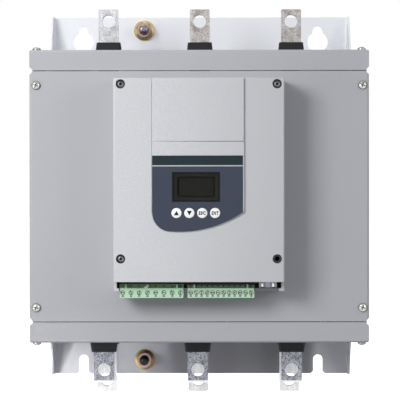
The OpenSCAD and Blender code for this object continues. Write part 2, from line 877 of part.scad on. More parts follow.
module end_cover_screws() {
    color("gainsboro") for (sx = [-1, 1], sz = [0, 1]) mirror([0, 0, sz])
        translate([sx * screw_x, -end_screw_d, case_z])
            pan_screw(screw_d, screw_len, screw_head_d, screw_head_h);
}

// Heatsink between the inner frames
module heatsink() {
    half = frame_in - sheet_gap;
    fins = floor((half - 6) / fin_pitch);
    color("lightgray") {
        difference() {
            union() {
                slab(-half, half, sink_d - sink_base_t, sink_d, sink_z, sink_z + sink_h);
                for (i = [-fins : fins])
                    mid_slab(i * fin_pitch, fin_t, fin_d, sink_d - sink_base_t, sink_z, sink_z + sink_h);
            }
            for (i = [1 : 3]) module_screw_places(i)
                rod(0, 0, sink_d - 10, sink_d + cut, module_screw_d + 2 * screw_gap);
        }
    }
}

// Thyristor modules
foot_t = 4;
foot_in = 8;
module module_screw_places(i) {
    for (z = [foot_in, module_l - foot_in])
        translate([phase_x(i), 0, module_z - module_l / 2 + z]) children();
}

module terminal_places(i) {
    translate([phase_x(i), 0, upper_terminal_z]) children();
    translate([phase_x(i) + bottom_shift / 2, 0, lower_terminal_z]) children();
}

module thyristor(i) {
    low = module_z - module_l / 2;
    body_in = 2 * foot_in;
    color("dimgray") difference() {
        union() {
            mid_slab(phase_x(i), module_w, sink_d, sink_d + foot_t, low, low + module_l);
            mid_slab(phase_x(i), module_w - 6, sink_d + foot_t, terminal_d - pad_h,
                     low + body_in, low + module_l - body_in);
            terminal_places(i) mid_slab(0, bar_w, terminal_d - pad_h - cut, terminal_d, -8, 8);
        }
        module_screw_places(i) rod(0, 0, sink_d - cut, sink_d + foot_t + cut, module_screw_d + 2 * screw_gap);
        terminal_places(i) rod(0, 0, terminal_d - 12, terminal_d + cut, module_screw_d + 2 * screw_gap);
    }
}

module thyristor_module_1() { thyristor(1); }
module thyristor_module_2() { thyristor(2); }
module thyristor_module_3() { thyristor(3); }

// Screws of the modules: two in each foot plate and one in each terminal
module module_screws() {
    head_d = module_screw_d * 1.8;
    head_h = module_screw_d * 0.6;
    color("gainsboro") for (i = [1 : 3]) {
        module_screw_places(i)
            front_screw(0, sink_d + foot_t, 0, module_screw_d, foot_t + 8, head_d, head_h);
        translate([phase_x(i), 0, upper_terminal_z])
            front_screw(0, line_d, 0, module_screw_d, bar_t + 10, head_d, head_h);
        translate([phase_x(i) + bottom_shift / 2, 0, lower_terminal_z])
            front_screw(0, load_d, 0, module_screw_d, 2 * bar_t + 10, head_d, head_h);
    }
}

// Bus bars: the end outline has two cut corners and a hole
module bar_end_cuts(x, d, z, up) {
    side = up ? 1 : -1;
    translate([x, 0, z]) {
        rod(0, -side * bar_hole_in, d - cut, d + bar_t + cut, bar_hole_d);
        mirror_x() face_plate(d - cut, d + bar_t + cut) polygon([
            [bar_w / 2 - bar_corner, side * cut], [bar_w / 2 - bar_corner, 0],
            [bar_w / 2, -side * bar_corner], [bar_w / 2 + cut, -side * bar_corner],
            [bar_w / 2 + cut, side * cut]
        ]);
    }
}

module line_bar(i) {
    top = case_z + line_reach;
    color("rosybrown") difference() {
        mid_slab(phase_x(i), bar_w, terminal_d, line_d, upper_terminal_z - bar_overlap, top);
        bar_end_cuts(phase_x(i), terminal_d, top, true);
        rod(phase_x(i), upper_terminal_z, terminal_d - cut, line_d + cut, module_screw_d + 2 * screw_gap);
    }
}

module line_bar_1() { line_bar(1); }
module line_bar_2() { line_bar(2); }
module line_bar_3() { line_bar(3); }

module bypass_bar(i) {
    low = -case_z - bypass_reach;
    color("silver") difference() {
        mid_slab(bottom_x(i), bar_w, terminal_d, line_d, low, lower_terminal_z + bar_overlap);
        bar_end_cuts(bottom_x(i), terminal_d, low, false);
        rod(phase_x(i) + bottom_shift / 2, lower_terminal_z, terminal_d - cut, line_d + cut,
            module_screw_d + 2 * screw_gap);
    }
}

module bypass_bar_1() { bypass_bar(1); }
module bypass_bar_2() { bypass_bar(2); }
module bypass_bar_3() { bypass_bar(3); }

// Load bars step forward below the module and run down through their transformer
module load_bar(i) {
    low = -case_z - load_reach;
    bend_r = bar_t + 1;
    x0 = bottom_x(i) - bar_w / 2;
    color("silver") difference() {
        side_plate(x0, x0 + bar_w) {
            translate([line_d, step_z + bend_r])
                square([bar_t, lower_terminal_z + bar_overlap - step_z - bend_r]);
            translate([line_d + bend_r, step_z]) square([load_front_d - line_d - 2 * bend_r, bar_t]);
            translate([load_front_d - bar_t, low]) square([bar_t, step_z + bar_t - bend_r - low]);
            intersection() {
                translate([line_d + bend_r, step_z + bend_r]) difference() {
                    circle(bend_r);
                    circle(bend_r - bar_t);
                }
                translate([line_d, step_z]) square(bend_r);
            }
            intersection() {
                translate([load_front_d - bend_r, step_z + bar_t - bend_r]) difference() {
                    circle(bend_r);
                    circle(bend_r - bar_t);
                }
                translate([load_front_d - bend_r, step_z + bar_t - bend_r]) square(bend_r);
            }
        }
        bar_end_cuts(bottom_x(i), load_front_d - bar_t, low, false);
        rod(phase_x(i) + bottom_shift / 2, lower_terminal_z, line_d - cut, load_d + cut,
            module_screw_d + 2 * screw_gap);
    }
}

module load_bar_1() { load_bar(1); }
module load_bar_2() { load_bar(2); }
module load_bar_3() { load_bar(3); }

// Current transformers: moulded rings that the load bars pass through
module current_transformer(i) {
    z0 = -inner_z + ct_lift;
    color("midnightblue") difference() {
        post(bottom_x(i), load_mid_d, z0, z0 + ct_h, ct_d);
        mid_slab(bottom_x(i), bar_w + 2 * shroud_gap, load_mid_d - bar_t / 2 - shroud_gap,
                 load_mid_d + bar_t / 2 + shroud_gap, z0 - cut, z0 + ct_h + cut);
    }
}

module current_transformer_1() { current_transformer(1); }
module current_transformer_2() { current_transformer(2); }
module current_transformer_3() { current_transformer(3); }

// Bar shrouds: a flange on the cover, a neck through it and a tapered chimney around the bar
module shroud_section(w, d, z) {
    c = shroud_chamfer;
    translate([0, 0, z]) linear_extrude(0.01) polygon([
        [-w / 2 + c, -d / 2], [w / 2 - c, -d / 2], [w / 2, -d / 2 + c], [w / 2, d / 2 - c],
        [w / 2 - c, d / 2], [-w / 2 + c, d / 2], [-w / 2, d / 2 - c], [-w / 2, -d / 2 + c]
    ]);
}

module chimney(x, d, h) {
    translate([x, -d, 0]) hull() {
        shroud_section(base_w, base_d, case_z + shroud_flange_t - 0.01);
        shroud_section(tip_w, tip_d, case_z + h - 0.01);
    }
}

module neck(x, d) {
    mid_slab(x, tip_w, d - tip_d / 2, d + tip_d / 2, inner_z - shroud_neck, case_z + shroud_flange_t);
}

module bar_passage(x, d, h) {
    mid_slab(x, bar_w + 2 * shroud_gap, d - bar_t / 2 - shroud_gap, d + bar_t / 2 + shroud_gap,
             inner_z - shroud_neck - cut, case_z + h + cut);
}

module top_shroud(i) {
    x = phase_x(i);
    color("#2c2c30") difference() {
        union() {
            mid_slab(x, base_w + 2 * shroud_flange, bypass_mid_d - base_d / 2 - shroud_flange,
                     bypass_mid_d + base_d / 2 + shroud_flange, case_z, case_z + shroud_flange_t);
            neck(x, bypass_mid_d);
            chimney(x, bypass_mid_d, shroud_h);
        }
        bar_passage(x, bypass_mid_d, shroud_h);
    }
}

module top_shroud_1() { top_shroud(1); }
module top_shroud_2() { top_shroud(2); }
module top_shroud_3() { top_shroud(3); }

// The bottom shrouds carry two chimneys on one flange
module bottom_shroud(i) {
    x = bottom_x(i);
    color("#2c2c30") mirror([0, 0, 1]) difference() {
        union() {
            mid_slab(x, base_w + 2 * shroud_flange, bypass_mid_d - base_d / 2 - shroud_flange,
                     load_mid_d + base_d / 2 + shroud_flange, case_z, case_z + shroud_flange_t);
            neck(x, bypass_mid_d);
            neck(x, load_mid_d);
            chimney(x, bypass_mid_d, bypass_shroud_h);
            chimney(x, load_mid_d, load_shroud_h);
        }
        bar_passage(x, bypass_mid_d, bypass_shroud_h);
        bar_passage(x, load_mid_d, load_shroud_h);
    }
}

module bottom_shroud_1() { bottom_shroud(1); }
module bottom_shroud_2() { bottom_shroud(2); }
module bottom_shroud_3() { bottom_shroud(3); }

// Fans that blow up through the heatsink
duct_d = fan_w - 2 * fan_wall;
bearing_d = shaft_d + 2 * bearing_wall;
module fan_frame(x) {
    hole_in = 4.2;
    color("#222226") translate([x, -fan_mid_d, fan_z]) {
        difference() {
            translate([-fan_w / 2, -fan_w / 2, 0]) cube([fan_w, fan_w, fan_h]);
            translate([0, 0, -cut]) cylinder(d = duct_d, h = fan_h + 2 * cut);
            for (sx = [-1, 1], sy = [-1, 1])
                translate([sx * (fan_w / 2 - hole_in), sy * (fan_w / 2 - hole_in), -cut])
                    cylinder(d = screw_d, h = fan_h + 2 * cut);
        }
        difference() {
            union() {
                cylinder(d = hub_d, h = motor_plate);
                cylinder(d = bearing_d, h = fan_h / 2);
                for (a = [0 : 90 : 270]) rotate(a) translate([0, -2, 0])
                    cube([duct_d / 2 + fan_wall / 2, 4, motor_plate]);
            }
            translate([0, 0, motor_plate]) cylinder(d = shaft_d + 2 * shaft_gap, h = fan_h);
        }
    }
}

module fan_frame_1() { fan_frame(-fan_x); }
module fan_frame_2() { fan_frame(fan_x); }

module fan_rotor(x) {
    low = motor_plate + rotor_gap;
    cap_h = 3;
    cup_wall = 2.5;
    blade_tip = duct_d / 2 - rotor_gap;
    blade_h = (fan_h - low - rotor_gap) / cos(40) * 0.78;
    color("#1b1b1f") translate([x, -fan_mid_d, fan_z]) {
        difference() {
            translate([0, 0, low]) cylinder(d = hub_d, h = fan_h - low - rotor_gap);
            translate([0, 0, low - cut])
                cylinder(d = hub_d - 2 * cup_wall, h = fan_h - low - rotor_gap - cap_h + cut);
        }
        translate([0, 0, motor_plate + shaft_gap])
            cylinder(d = shaft_d, h = fan_h - motor_plate - rotor_gap - 1);
        intersection() {
            for (k = [0 : blades - 1]) rotate(k * 360 / blades)
                translate([hub_d / 2 - cup_wall / 2, 0, (low + fan_h - rotor_gap) / 2]) rotate([40, 0, 0])
                    translate([0, -0.8, -blade_h / 2]) cube([blade_tip, 1.6, blade_h]);
            difference() {
                translate([0, 0, low]) cylinder(r = blade_tip, h = fan_h - low - rotor_gap);
                translate([0, 0, low - cut]) cylinder(d = hub_d - cup_wall, h = fan_h);
            }
        }
    }
}

module fan_rotor_1() { fan_rotor(-fan_x); }
module fan_rotor_2() { fan_rotor(fan_x); }

// Firing board on standoffs in front of the modules
standoff_x = phase_pitch / 2;
power_d = load_d + power_gap;
power_front = power_d + board_t;
power_low = module_z - power_drop;
power_top = sink_z + sink_h - power_in;
standoff_z = [power_low + standoff_in, power_top - standoff_in];
module board_standoffs() {
    color("gold") for (sx = [-1, 1], z = standoff_z) translate([sx * standoff_x, -sink_d, z])
        rotate([90, 0, 0]) cylinder(d = standoff_d, h = power_d - sink_d, $fn = 6);
}

module power_board() {
    half = phase_pitch + power_edge;
    pulse_z = power_low + pulse_lift;
    gate_z = pulse_z + pulse_l + gate_gap;
    cap_z = power_top - cap_in;
    color("darkgreen") union() {
        slab(-half, half, power_d, power_front, power_low, power_top);
        for (i = [1 : 3]) {
            mid_slab(phase_x(i), pulse_w, power_front, power_front + pulse_h, pulse_z, pulse_z + pulse_l);
            mid_slab(phase_x(i), gate_w, power_front, power_front + gate_h, gate_z, gate_z + gate_l);
        }
        for (x = [-cap_x, cap_x]) rod(standoff_x + x, cap_z, power_front, power_front + cap_h, cap_d);
    }
}

// Control unit housing
module control_shell() {
    difference() {
        intersection() {
            floor_plate(ctrl_bottom, ctrl_top) round_top(-ctrl_x, ctrl_x, body_d, ctrl_front, ctrl_r);
            side_plate(-ctrl_x, ctrl_x) round_one(body_d, ctrl_front, ctrl_bottom, ctrl_top, ctrl_r);
        }
        slab(-ctrl_x + ctrl_wall, ctrl_x - ctrl_wall, body_d - cut, ctrl_inner_front,
             ctrl_bottom + ctrl_wall, ctrl_top - ctrl_wall);
        slab(-ctrl_x + leg_w, ctrl_x - leg_w, ledge_d, ctrl_front + cut, ctrl_bottom - cut, -ctrl_low);
        slab(-ctrl_x - cut, ctrl_x + cut, ctrl_front - leg_back, ctrl_front + cut,
             ctrl_bottom - cut, -ctrl_low);
    }
}

module corner_places() {
    for (x = [-corner_x, corner_x], z = [corner_low_z, corner_top_z]) translate([x, 0, z]) children();
}

module post_places() {
    for (x = [-post_x, post_x], z = [post_low_z, post_top_z]) translate([x, 0, z]) children();
}

module plug_cut(x, w) {
    slab(x - way_edge - sheet_gap, x - way_edge + w + sheet_gap, header_back - sheet_gap, ledge_d + cut,
         ctrl_bottom - cut, ctrl_bottom + ctrl_wall + cut);
}

module control_housing() {
    color("lightgray") difference() {
        union() {
            control_shell();
            corner_places() rod(0, 0, body_d, ctrl_inner_front + cut / 2, corner_boss_d);
            post_places() rod(0, 0, board_front, ctrl_inner_front + cut / 2, post_d);
        }
        corner_places() {
            rod(0, 0, body_d - cut, ctrl_front + cut, screw_d + 2 * screw_gap);
            rod(0, 0, ctrl_front - recess_h, ctrl_front + cut, recess_d);
        }
        pad_frame() slab(skirt_x0 - skirt_gap, skirt_x1 + skirt_gap, -bezel_d, bezel_d,
                         skirt_low - skirt_gap, skirt_top + skirt_gap);
        pad_frame() slab(-pad_seam, 0, -pad_seam_d, bezel_d, -hmi_low + hmi_corner_r, ctrl_top + cut);
        plug_cut(relay_x, block_w(relay_ways, relay_pitch));
        plug_cut(signal_x, block_w(signal_ways, signal_pitch));
        mid_slab(socket_x, socket_mouth_w + 2, socket_mouth_mid - socket_mouth_d / 2 - 1,
                 socket_mouth_mid + socket_mouth_d / 2 + 1, ctrl_bottom - cut, ctrl_bottom + ctrl_wall + cut);
    }
}

module control_screws() {
    places = [[-corner_x, corner_top_z], [corner_x, corner_top_z], [-corner_x, corner_low_z]];
    color("dimgray") for (p = places)
        front_screw(p[0], ctrl_front - recess_h, p[1], screw_d, ctrl_d - recess_h + 6,
                    ctrl_head_d, recess_h * 0.6);
}

module control_board() {
    color("darkgreen") union() {
        slab(-board_x, board_x, board_d, board_front, board_low, board_top);
        mid_slab(-board_x / 2, supply_w, board_front, board_front + supply_h,
                 post_top_z - supply_in - supply_l, post_top_z - supply_in);
        mid_slab(board_x / 2, chip_w, board_front, board_front + chip_h,
                 post_top_z - chip_in - chip_w, post_top_z - chip_in);
        for (x = [-1, 0, 1])
            mid_slab(-board_x / 2 + x * (relay_w + relay_gap), relay_w, board_front, board_front + relay_h,
                     post_low_z + relay_lift, post_low_z + relay_lift + relay_l);
    }
}

// Terminals: headers soldered to the control board, and the plugs that push on from below
module header(x, ways, pitch) {
    w = block_w(ways, pitch);
    x0 = x - way_edge - header_side;
    cavity = tongue_t / 2 + tongue_gap;
    end_in = tongue_in - tongue_gap;
    roof = header_low + tongue_l + tongue_tip;
    color("darkolivegreen") union() {
        difference() {
            slab(x0, x0 + w + 2 * header_side, board_front, header_front, header_low, header_top);
            slab(x - way_edge + end_in, x - way_edge + w - end_in, tongue_mid - cavity, tongue_mid + cavity,
                 header_low - cut, roof);
            for (k = [0 : ways - 1])
                rod(x + k * pitch, header_low + dimple_lift, header_front - dimple_h,
                    header_front + cut, dimple_d);
            slab(x0 - cut, x0 + w + 2 * header_side + cut, tongue_mid + cavity + lip_wall,
                 header_front + cut, header_low + lip_h, header_top + cut);
        }
        for (k = [0 : ways - 1])
            mid_slab(x + k * pitch, pin_w, tongue_mid - pin_w / 2, tongue_mid + pin_w / 2,
                     roof - pin_l, roof + pin_root);
    }
}

module relay_header() { header(relay_x, relay_ways, relay_pitch); }
module signal_header() { header(signal_x, signal_ways, signal_pitch); }

module plug(x, ways, pitch) {
    w = block_w(ways, pitch);
    x0 = x - way_edge;
    low = plug_seat - plug_h;
    screw_z = low + plug_h * 0.53;
    entry = min(pitch - 1.6, 3.6);
    color("lightgreen") difference() {
        union() {
            slab(x0, x0 + w, plug_back, plug_front, low, plug_seat);
            slab(x0 + tongue_in, x0 + w - tongue_in, tongue_mid - tongue_t / 2, tongue_mid + tongue_t / 2,
                 plug_seat - cut, plug_seat + tongue_l);
            for (rx = [x0 + w * 0.1, x0 + w * 0.9])
                mid_slab(rx, rib_w, header_front + sheet_gap, plug_front - rib_set,
                         plug_seat - cut, plug_seat + rib_l);
        }
        for (k = [0 : ways - 1]) {
            rod(x + k * pitch, screw_z, plug_front - clamp_deep, plug_front + cut, clamp_d + 2 * screw_gap);
            mid_slab(x + k * pitch, pin_w + 2 * pin_gap, tongue_mid - pin_w / 2 - pin_gap,
                     tongue_mid + pin_w / 2 + pin_gap, plug_seat - pin_gap, plug_seat + tongue_l + cut);
            mid_slab(x + k * pitch, entry, plug_front - clamp_deep - 1 - entry, plug_front - clamp_deep - 1,
                     low - cut, low + plug_h * 0.7);
            mid_slab(x + k * pitch, 1.8, plug_front - 0.8, plug_front + cut, low + 1.4, low + 2.1);
        }
    }
}

module relay_plug() { plug(relay_x, relay_ways, relay_pitch); }
module signal_plug() { plug(signal_x, signal_ways, signal_pitch); }

module clamp_screws(x, ways, pitch) {
    slot = 0.8;
    z = plug_seat - plug_h * 0.47;
    color("silver") for (k = [0 : ways - 1]) difference() {
        rod(x + k * pitch, z, plug_front - clamp_deep, plug_front - clamp_sunk, clamp_d);
        translate([x + k * pitch, -plug_front + clamp_sunk, z]) rotate([0, 37 * k + 20, 0])
            translate([-clamp_d, -cut, -slot / 2]) cube([2 * clamp_d, cut + 0.7, slot]);
    }
}

module relay_plug_screws() { clamp_screws(relay_x, relay_ways, relay_pitch); }
module signal_plug_screws() { clamp_screws(signal_x, signal_ways, signal_pitch); }

// Shielded serial socket that opens downwards
module serial_socket() {
    low = ctrl_bottom + ctrl_wall + sheet_gap;
    finger_w = 1.8;
    color("silver") union() {
        difference() {
            mid_slab(socket_x, socket_w, board_front, socket_front, low, low + socket_h);
            mid_slab(socket_x, socket_mouth_w, socket_mouth_mid - socket_mouth_d / 2,
                     socket_mouth_mid + socket_mouth_d / 2, low - cut, low + socket_h - socket_roof);
        }
        for (x = [-1, 1]) mid_slab(socket_x + x * socket_w * 0.31, finger_w, socket_front, socket_front + 0.8,
                                   low + 0.4, low + 5.6);
    }
}

// Keypad column on the control unit's front, turned a little about its left edge
module pad_frame() {
    translate([-pad_left, -ctrl_front, 0]) rotate([0, 0, -pad_tilt]) children();
}

// Outline of the keypad in x and z, drawn in by an inset
module pad_outline(inset, right, top) {
    r = hmi_corner_r - inset;
    low = -hmi_low + inset;
    corner_z = -hmi_low + hmi_corner_r;
    difference() {
        intersection() {
            translate([inset, low]) square([right - inset, top - low]);
            translate([hmi_sweep_x, -hmi_low + hmi_sweep_r]) circle(hmi_sweep_r - inset, $fn = 180);
        }
        difference() {
            translate([inset - cut, low - cut]) square([r + cut, r + cut]);
            translate([hmi_corner_r, corner_z]) circle(r);
        }
    }
}

// Everything in front of the control unit's front plane
module ahead() {
    slab(-ctrl_x, ctrl_x, ctrl_front, ctrl_front + 20, -ctrl_low, ctrl_top);
}

module option_cover() {
    color("lightgray") intersection() {
        pad_frame() slab(0, pad_w, -bezel_d, bezel_front, hmi_top + hmi_gap, ctrl_top + 10);
        ahead();
    }
}

module key_places() {
    for (k = [0 : 3]) translate([key_x + k * key_pitch, 0, -key_low]) children();
}

module hmi_bezel() {
    window_z = -window_low;
    foot_z = -hmi_low + hmi_sweep_r - sqrt(pow(hmi_sweep_r, 2) - pow(pad_w - hmi_sweep_x, 2));
    color("lightgray") difference() {
        intersection() {
            union() {
                pad_frame() face_plate(-bezel_d, bezel_front) pad_outline(0, pad_w, hmi_top);
                pad_frame() floor_plate(foot_z + cut, hmi_top) polygon([
                    [pad_w - cut, -bezel_d], [pad_w + pad_draft, -bezel_d], [pad_w + pad_draft, -pad_proud],
                    [pad_w, bezel_front - 0.2], [pad_w - cut, bezel_front - 0.2]
                ]);
            }
            union() {
                ahead();
                pad_frame() slab(skirt_x0, skirt_x1, -bezel_d - cut, bezel_front + cut, skirt_low, skirt_top);
            }
        }
        pad_frame() {
            slab(skirt_x0 + skirt_wall, skirt_x1 - skirt_wall, -bezel_d - cut, bezel_inside,
                 skirt_low + skirt_wall, skirt_top - skirt_wall);
            face_plate(bezel_front - film_pocket, bezel_front + cut)
                pad_outline(film_x - window_gap, pad_w - film_rim + window_gap, film_top + window_gap);
            slab(film_x - window_gap, pad_w - film_rim + window_gap, bezel_front - film_pocket,
                 bezel_front + cut, strip_low - window_gap, strip_low + strip_h + window_gap);
            slab(window_x - window_gap, window_x + window_w + window_gap, window_front - window_t,
                 bezel_front + cut, window_z - window_gap, window_z + window_h + window_gap);
            slab(window_x + window_lip, window_x + window_w - window_lip, bezel_inside - cut,
                 bezel_front + cut, window_z + window_lip, window_z + window_h - window_lip);
            key_places() rod(0, 0, bezel_inside - cut, bezel_front + cut, key_d + 2 * key_gap);
        }
    }
}

module keypad_film() {
    color("slategray") pad_frame() difference() {
        face_plate(bezel_front - film_pocket, film_front) pad_outline(film_x, pad_w - film_rim, film_top);
        slab(window_x - window_gap, window_x + window_w + window_gap, -bezel_d, bezel_d,
             -window_low - window_gap, -window_low + window_h + window_gap);
        key_places() rod(0, 0, -bezel_d, bezel_d, key_d + 2 * key_gap);
    }
}

module name_strip() {
    color("darkslategray") pad_frame()
        slab(film_x, pad_w - film_rim, bezel_front - film_pocket, film_front, strip_low, strip_low + strip_h);
}

module display_window() {
    color("#202020") pad_frame()
        slab(window_x, window_x + window_w, window_front - window_t, window_front,
             -window_low, -window_low + window_h);
}

module display_module() {
    mid_x = window_x + window_w / 2;
    mid_z = -window_low + window_h / 2;
    color("#181818") pad_frame()
        mid_slab(mid_x, display_w, display_back, display_back + display_d,
                 mid_z - display_h / 2, mid_z + display_h / 2);
}

// Keypad board with four push switches behind the keys
switch_d = 4;
stem_end = bezel_inside - 3;
module keypad_board() {
    edge = skirt_wall + 0.3;
    switch_top = stem_end - key_travel - 0.3;
    color("darkgreen") pad_frame() {
        slab(skirt_x0 + edge, skirt_x1 - edge, pad_board_front - board_t, pad_board_front,
             skirt_low + edge, skirt_top - edge);
        key_places() rod(0, 0, pad_board_front - board_t / 2, switch_top, switch_d);
    }
}

module key(k) {
    dome_r = key_d * 1.9;
    front = film_front + key_proud;
    color("white") pad_frame() translate([key_x + k * key_pitch, 0, -key_low]) {
        intersection() {
            rod(0, 0, bezel_inside - key_gap_back - 0.5, front, key_d);
            translate([0, -front + dome_r, 0]) sphere(dome_r, $fn = 96);
        }
        rod(0, 0, bezel_inside - key_gap_back - 1, bezel_inside - key_gap_back, key_d + 2 * key_flange);
        rod(0, 0, stem_end, bezel_inside - key_gap_back - 0.5, switch_d);
    }
}

module key_up() { key(0); }
module key_down() { key(1); }
module key_escape() { key(2); }
module key_enter() { key(3); }

mounting_plate();
left_frame();
right_frame();
front_cover();
top_cover();
bottom_cover();
front_cover_screws();
end_cover_screws();
earth_studs();
earth_nuts();
heatsink();
thyristor_module_1();
thyristor_module_2();
thyristor_module_3();
module_screws();
line_bar_1();
line_bar_2();
line_bar_3();
bypass_bar_1();
bypass_bar_2();
bypass_bar_3();
load_bar_1();
load_bar_2();
load_bar_3();
current_transformer_1();
current_transformer_2();
current_transformer_3();
top_shroud_1();
top_shroud_2();
top_shroud_3();
bottom_shroud_1();
bottom_shroud_2();
bottom_shroud_3();
fan_frame_1();
fan_frame_2();
fan_rotor_1();
fan_rotor_2();
power_board();
board_standoffs();
control_housing();
control_board();
control_screws();
relay_header();
signal_header();
relay_plug();
signal_plug();
relay_plug_screws();
signal_plug_screws();
serial_socket();
option_cover();
hmi_bezel();
keypad_film();
name_strip();
display_window();
display_module();
keypad_board();
key_up();
key_down();
key_escape();
key_enter();
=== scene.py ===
"""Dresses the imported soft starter: finishes, small parts, studio light and camera."""

from __future__ import annotations

import json
import logging
import math
from collections.abc import Iterable, Sequence
from dataclasses import dataclass, field
from enum import Enum
from functools import reduce
from typing import Any

import bmesh
import bpy
from mathutils import Color, Matrix, Vector

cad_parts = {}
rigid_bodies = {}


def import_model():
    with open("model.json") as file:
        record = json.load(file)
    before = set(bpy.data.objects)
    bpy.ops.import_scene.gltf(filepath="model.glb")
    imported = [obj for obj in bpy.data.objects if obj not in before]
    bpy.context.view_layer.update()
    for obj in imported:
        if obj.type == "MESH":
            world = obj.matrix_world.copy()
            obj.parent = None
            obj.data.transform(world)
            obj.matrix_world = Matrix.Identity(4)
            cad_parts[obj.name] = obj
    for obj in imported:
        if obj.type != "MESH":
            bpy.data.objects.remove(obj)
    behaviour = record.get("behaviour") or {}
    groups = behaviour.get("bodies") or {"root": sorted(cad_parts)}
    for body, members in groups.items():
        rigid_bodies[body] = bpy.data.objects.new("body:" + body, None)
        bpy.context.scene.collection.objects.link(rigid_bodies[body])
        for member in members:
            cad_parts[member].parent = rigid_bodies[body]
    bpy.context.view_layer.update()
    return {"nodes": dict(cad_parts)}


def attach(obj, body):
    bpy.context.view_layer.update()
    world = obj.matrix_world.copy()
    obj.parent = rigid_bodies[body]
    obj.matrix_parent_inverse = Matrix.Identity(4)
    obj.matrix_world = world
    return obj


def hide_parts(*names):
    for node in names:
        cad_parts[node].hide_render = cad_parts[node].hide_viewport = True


LOG = logging.getLogger("soft_starter")
MM = 0.001

Pair = tuple[float, float]
Triple = tuple[float, float, float]
Colour = Triple
Shape = bmesh.types.BMesh
WHITE: Colour = (1.0, 1.0, 1.0)
BLACK: Colour = (0.0, 0.0, 0.0)
SIDES = (-1.0, 1.0)
WHOLE: Triple = (1.0, 1.0, 1.0)
NOISE_ROUGHNESS = 0.55
NOISE_MIDDLE = 0.5
EDGE_SEGMENTS = 2
EDGE_PROFILE = 0.5
SCREEN_WHITE = 255.0


def paint(red: int, green: int, blue: int) -> Colour:
    """Turns a screen colour into the linear colour that shaders take.

    Args:
        red: red on the screen, from 0 to 255.
        green: green on the screen, from 0 to 255.
        blue: blue on the screen, from 0 to 255.

    Returns:
        The linear red, green and blue.
    """
    screen = Color((red / SCREEN_WHITE, green / SCREEN_WHITE, blue / SCREEN_WHITE))
    return tuple(screen.from_srgb_to_scene_linear())


def shade(colour: Colour, factor: float) -> Colour:
    """Returns a colour made darker or lighter by a factor."""
    return tuple(part * factor for part in colour)


def span(middle: float, half: float) -> Pair:
    """Returns the two ends of a length around its middle."""
    return (middle - half, middle + half)


def around(place: Pair, radius: float, angle: float, depth: float) -> Vector:
    """Returns a point around an axis that runs front to back.

    Args:
        place: the axis's x and z in millimetres.
        radius: distance from the axis.
        angle: angle around it in radians.
        depth: distance in front of the wall.

    Returns:
        The point in metres.
    """
    across, up = radius * math.cos(angle), radius * math.sin(angle)
    return Vector((place[0] + across, -depth, place[1] + up)) * MM


def turns(steps: int) -> list[float]:
    """Returns the angles of a full turn in equal steps, in radians."""
    return [math.tau * step / steps for step in range(steps)]


def placed(name: str, data: bpy.types.ID) -> bpy.types.Object:
    """Makes an object and puts it in the scene.

    Args:
        name: the object's name.
        data: its mesh, letters, lamp or camera.

    Returns:
        The object.
    """
    made = bpy.data.objects.new(name, data)
    bpy.context.scene.collection.objects.link(made)
    return made


class Axis(Enum):
    """The axes of the shared frame."""

    X = "X"
    Y = "Y"
    Z = "Z"


class Blend(Enum):
    """The sockets of a Mix node for colours, by number."""

    FACTOR = 0
    FIRST = 6
    SECOND = 7
    RESULT = 2


class Socket:
    """A shader value that takes part in Python expressions."""

    def __init__(self, tree: ShaderTree, link: bpy.types.NodeSocket | None) -> None:
        """Wraps one output.

        Args:
            tree: the tree that the output belongs to.
            link: the output itself, or None for a node that has none.
        """
        self.tree = tree
        self.link = link

    def _math(self, operation: str, first: Socket | float, second: Socket | float) -> Socket:
        """Adds a Math node.

        Args:
            operation: the node's operation.
            first: its first value.
            second: its second value.

        Returns:
            The node's result.
        """
        return self.tree.node("ShaderNodeMath", {"operation": operation}, {0: first, 1: second})

    def __add__(self, other: Socket | float) -> Socket:
        """Returns self plus other."""
        return self._math("ADD", self, other)

    def __radd__(self, other: Socket | float) -> Socket:
        """Returns other plus self."""
        return self._math("ADD", other, self)

    def __sub__(self, other: Socket | float) -> Socket:
        """Returns self less other."""
        return self._math("SUBTRACT", self, other)

    def __rsub__(self, other: Socket | float) -> Socket:
        """Returns other less self."""
        return self._math("SUBTRACT", other, self)

    def __mul__(self, other: Socket | float) -> Socket:
        """Returns self times other."""
        return self._math("MULTIPLY", self, other)

    def __rmul__(self, other: Socket | float) -> Socket:
        """Returns other times self."""
        return self._math("MULTIPLY", other, self)

    def least(self, other: Socket | float) -> Socket:
        """Returns the smaller of self and other."""
        return self._math("MINIMUM", self, other)

    def most(self, other: Socket | float) -> Socket:
        """Returns the larger of self and other."""
        return self._math("MAXIMUM", self, other)

    def between(self, low: float, high: float) -> Socket:
        """Rises smoothly from 0 at low to 1 at high.

        Args:
            low: the value that gives 0.
            high: the value that gives 1.

        Returns:
            A mask from 0 to 1.
        """
        settings = {"interpolation_type": "SMOOTHSTEP", "clamp": True}
        inputs = {"Value": self, "From Min": low, "From Max": high}
        return self.tree.node("ShaderNodeMapRange", settings, inputs)


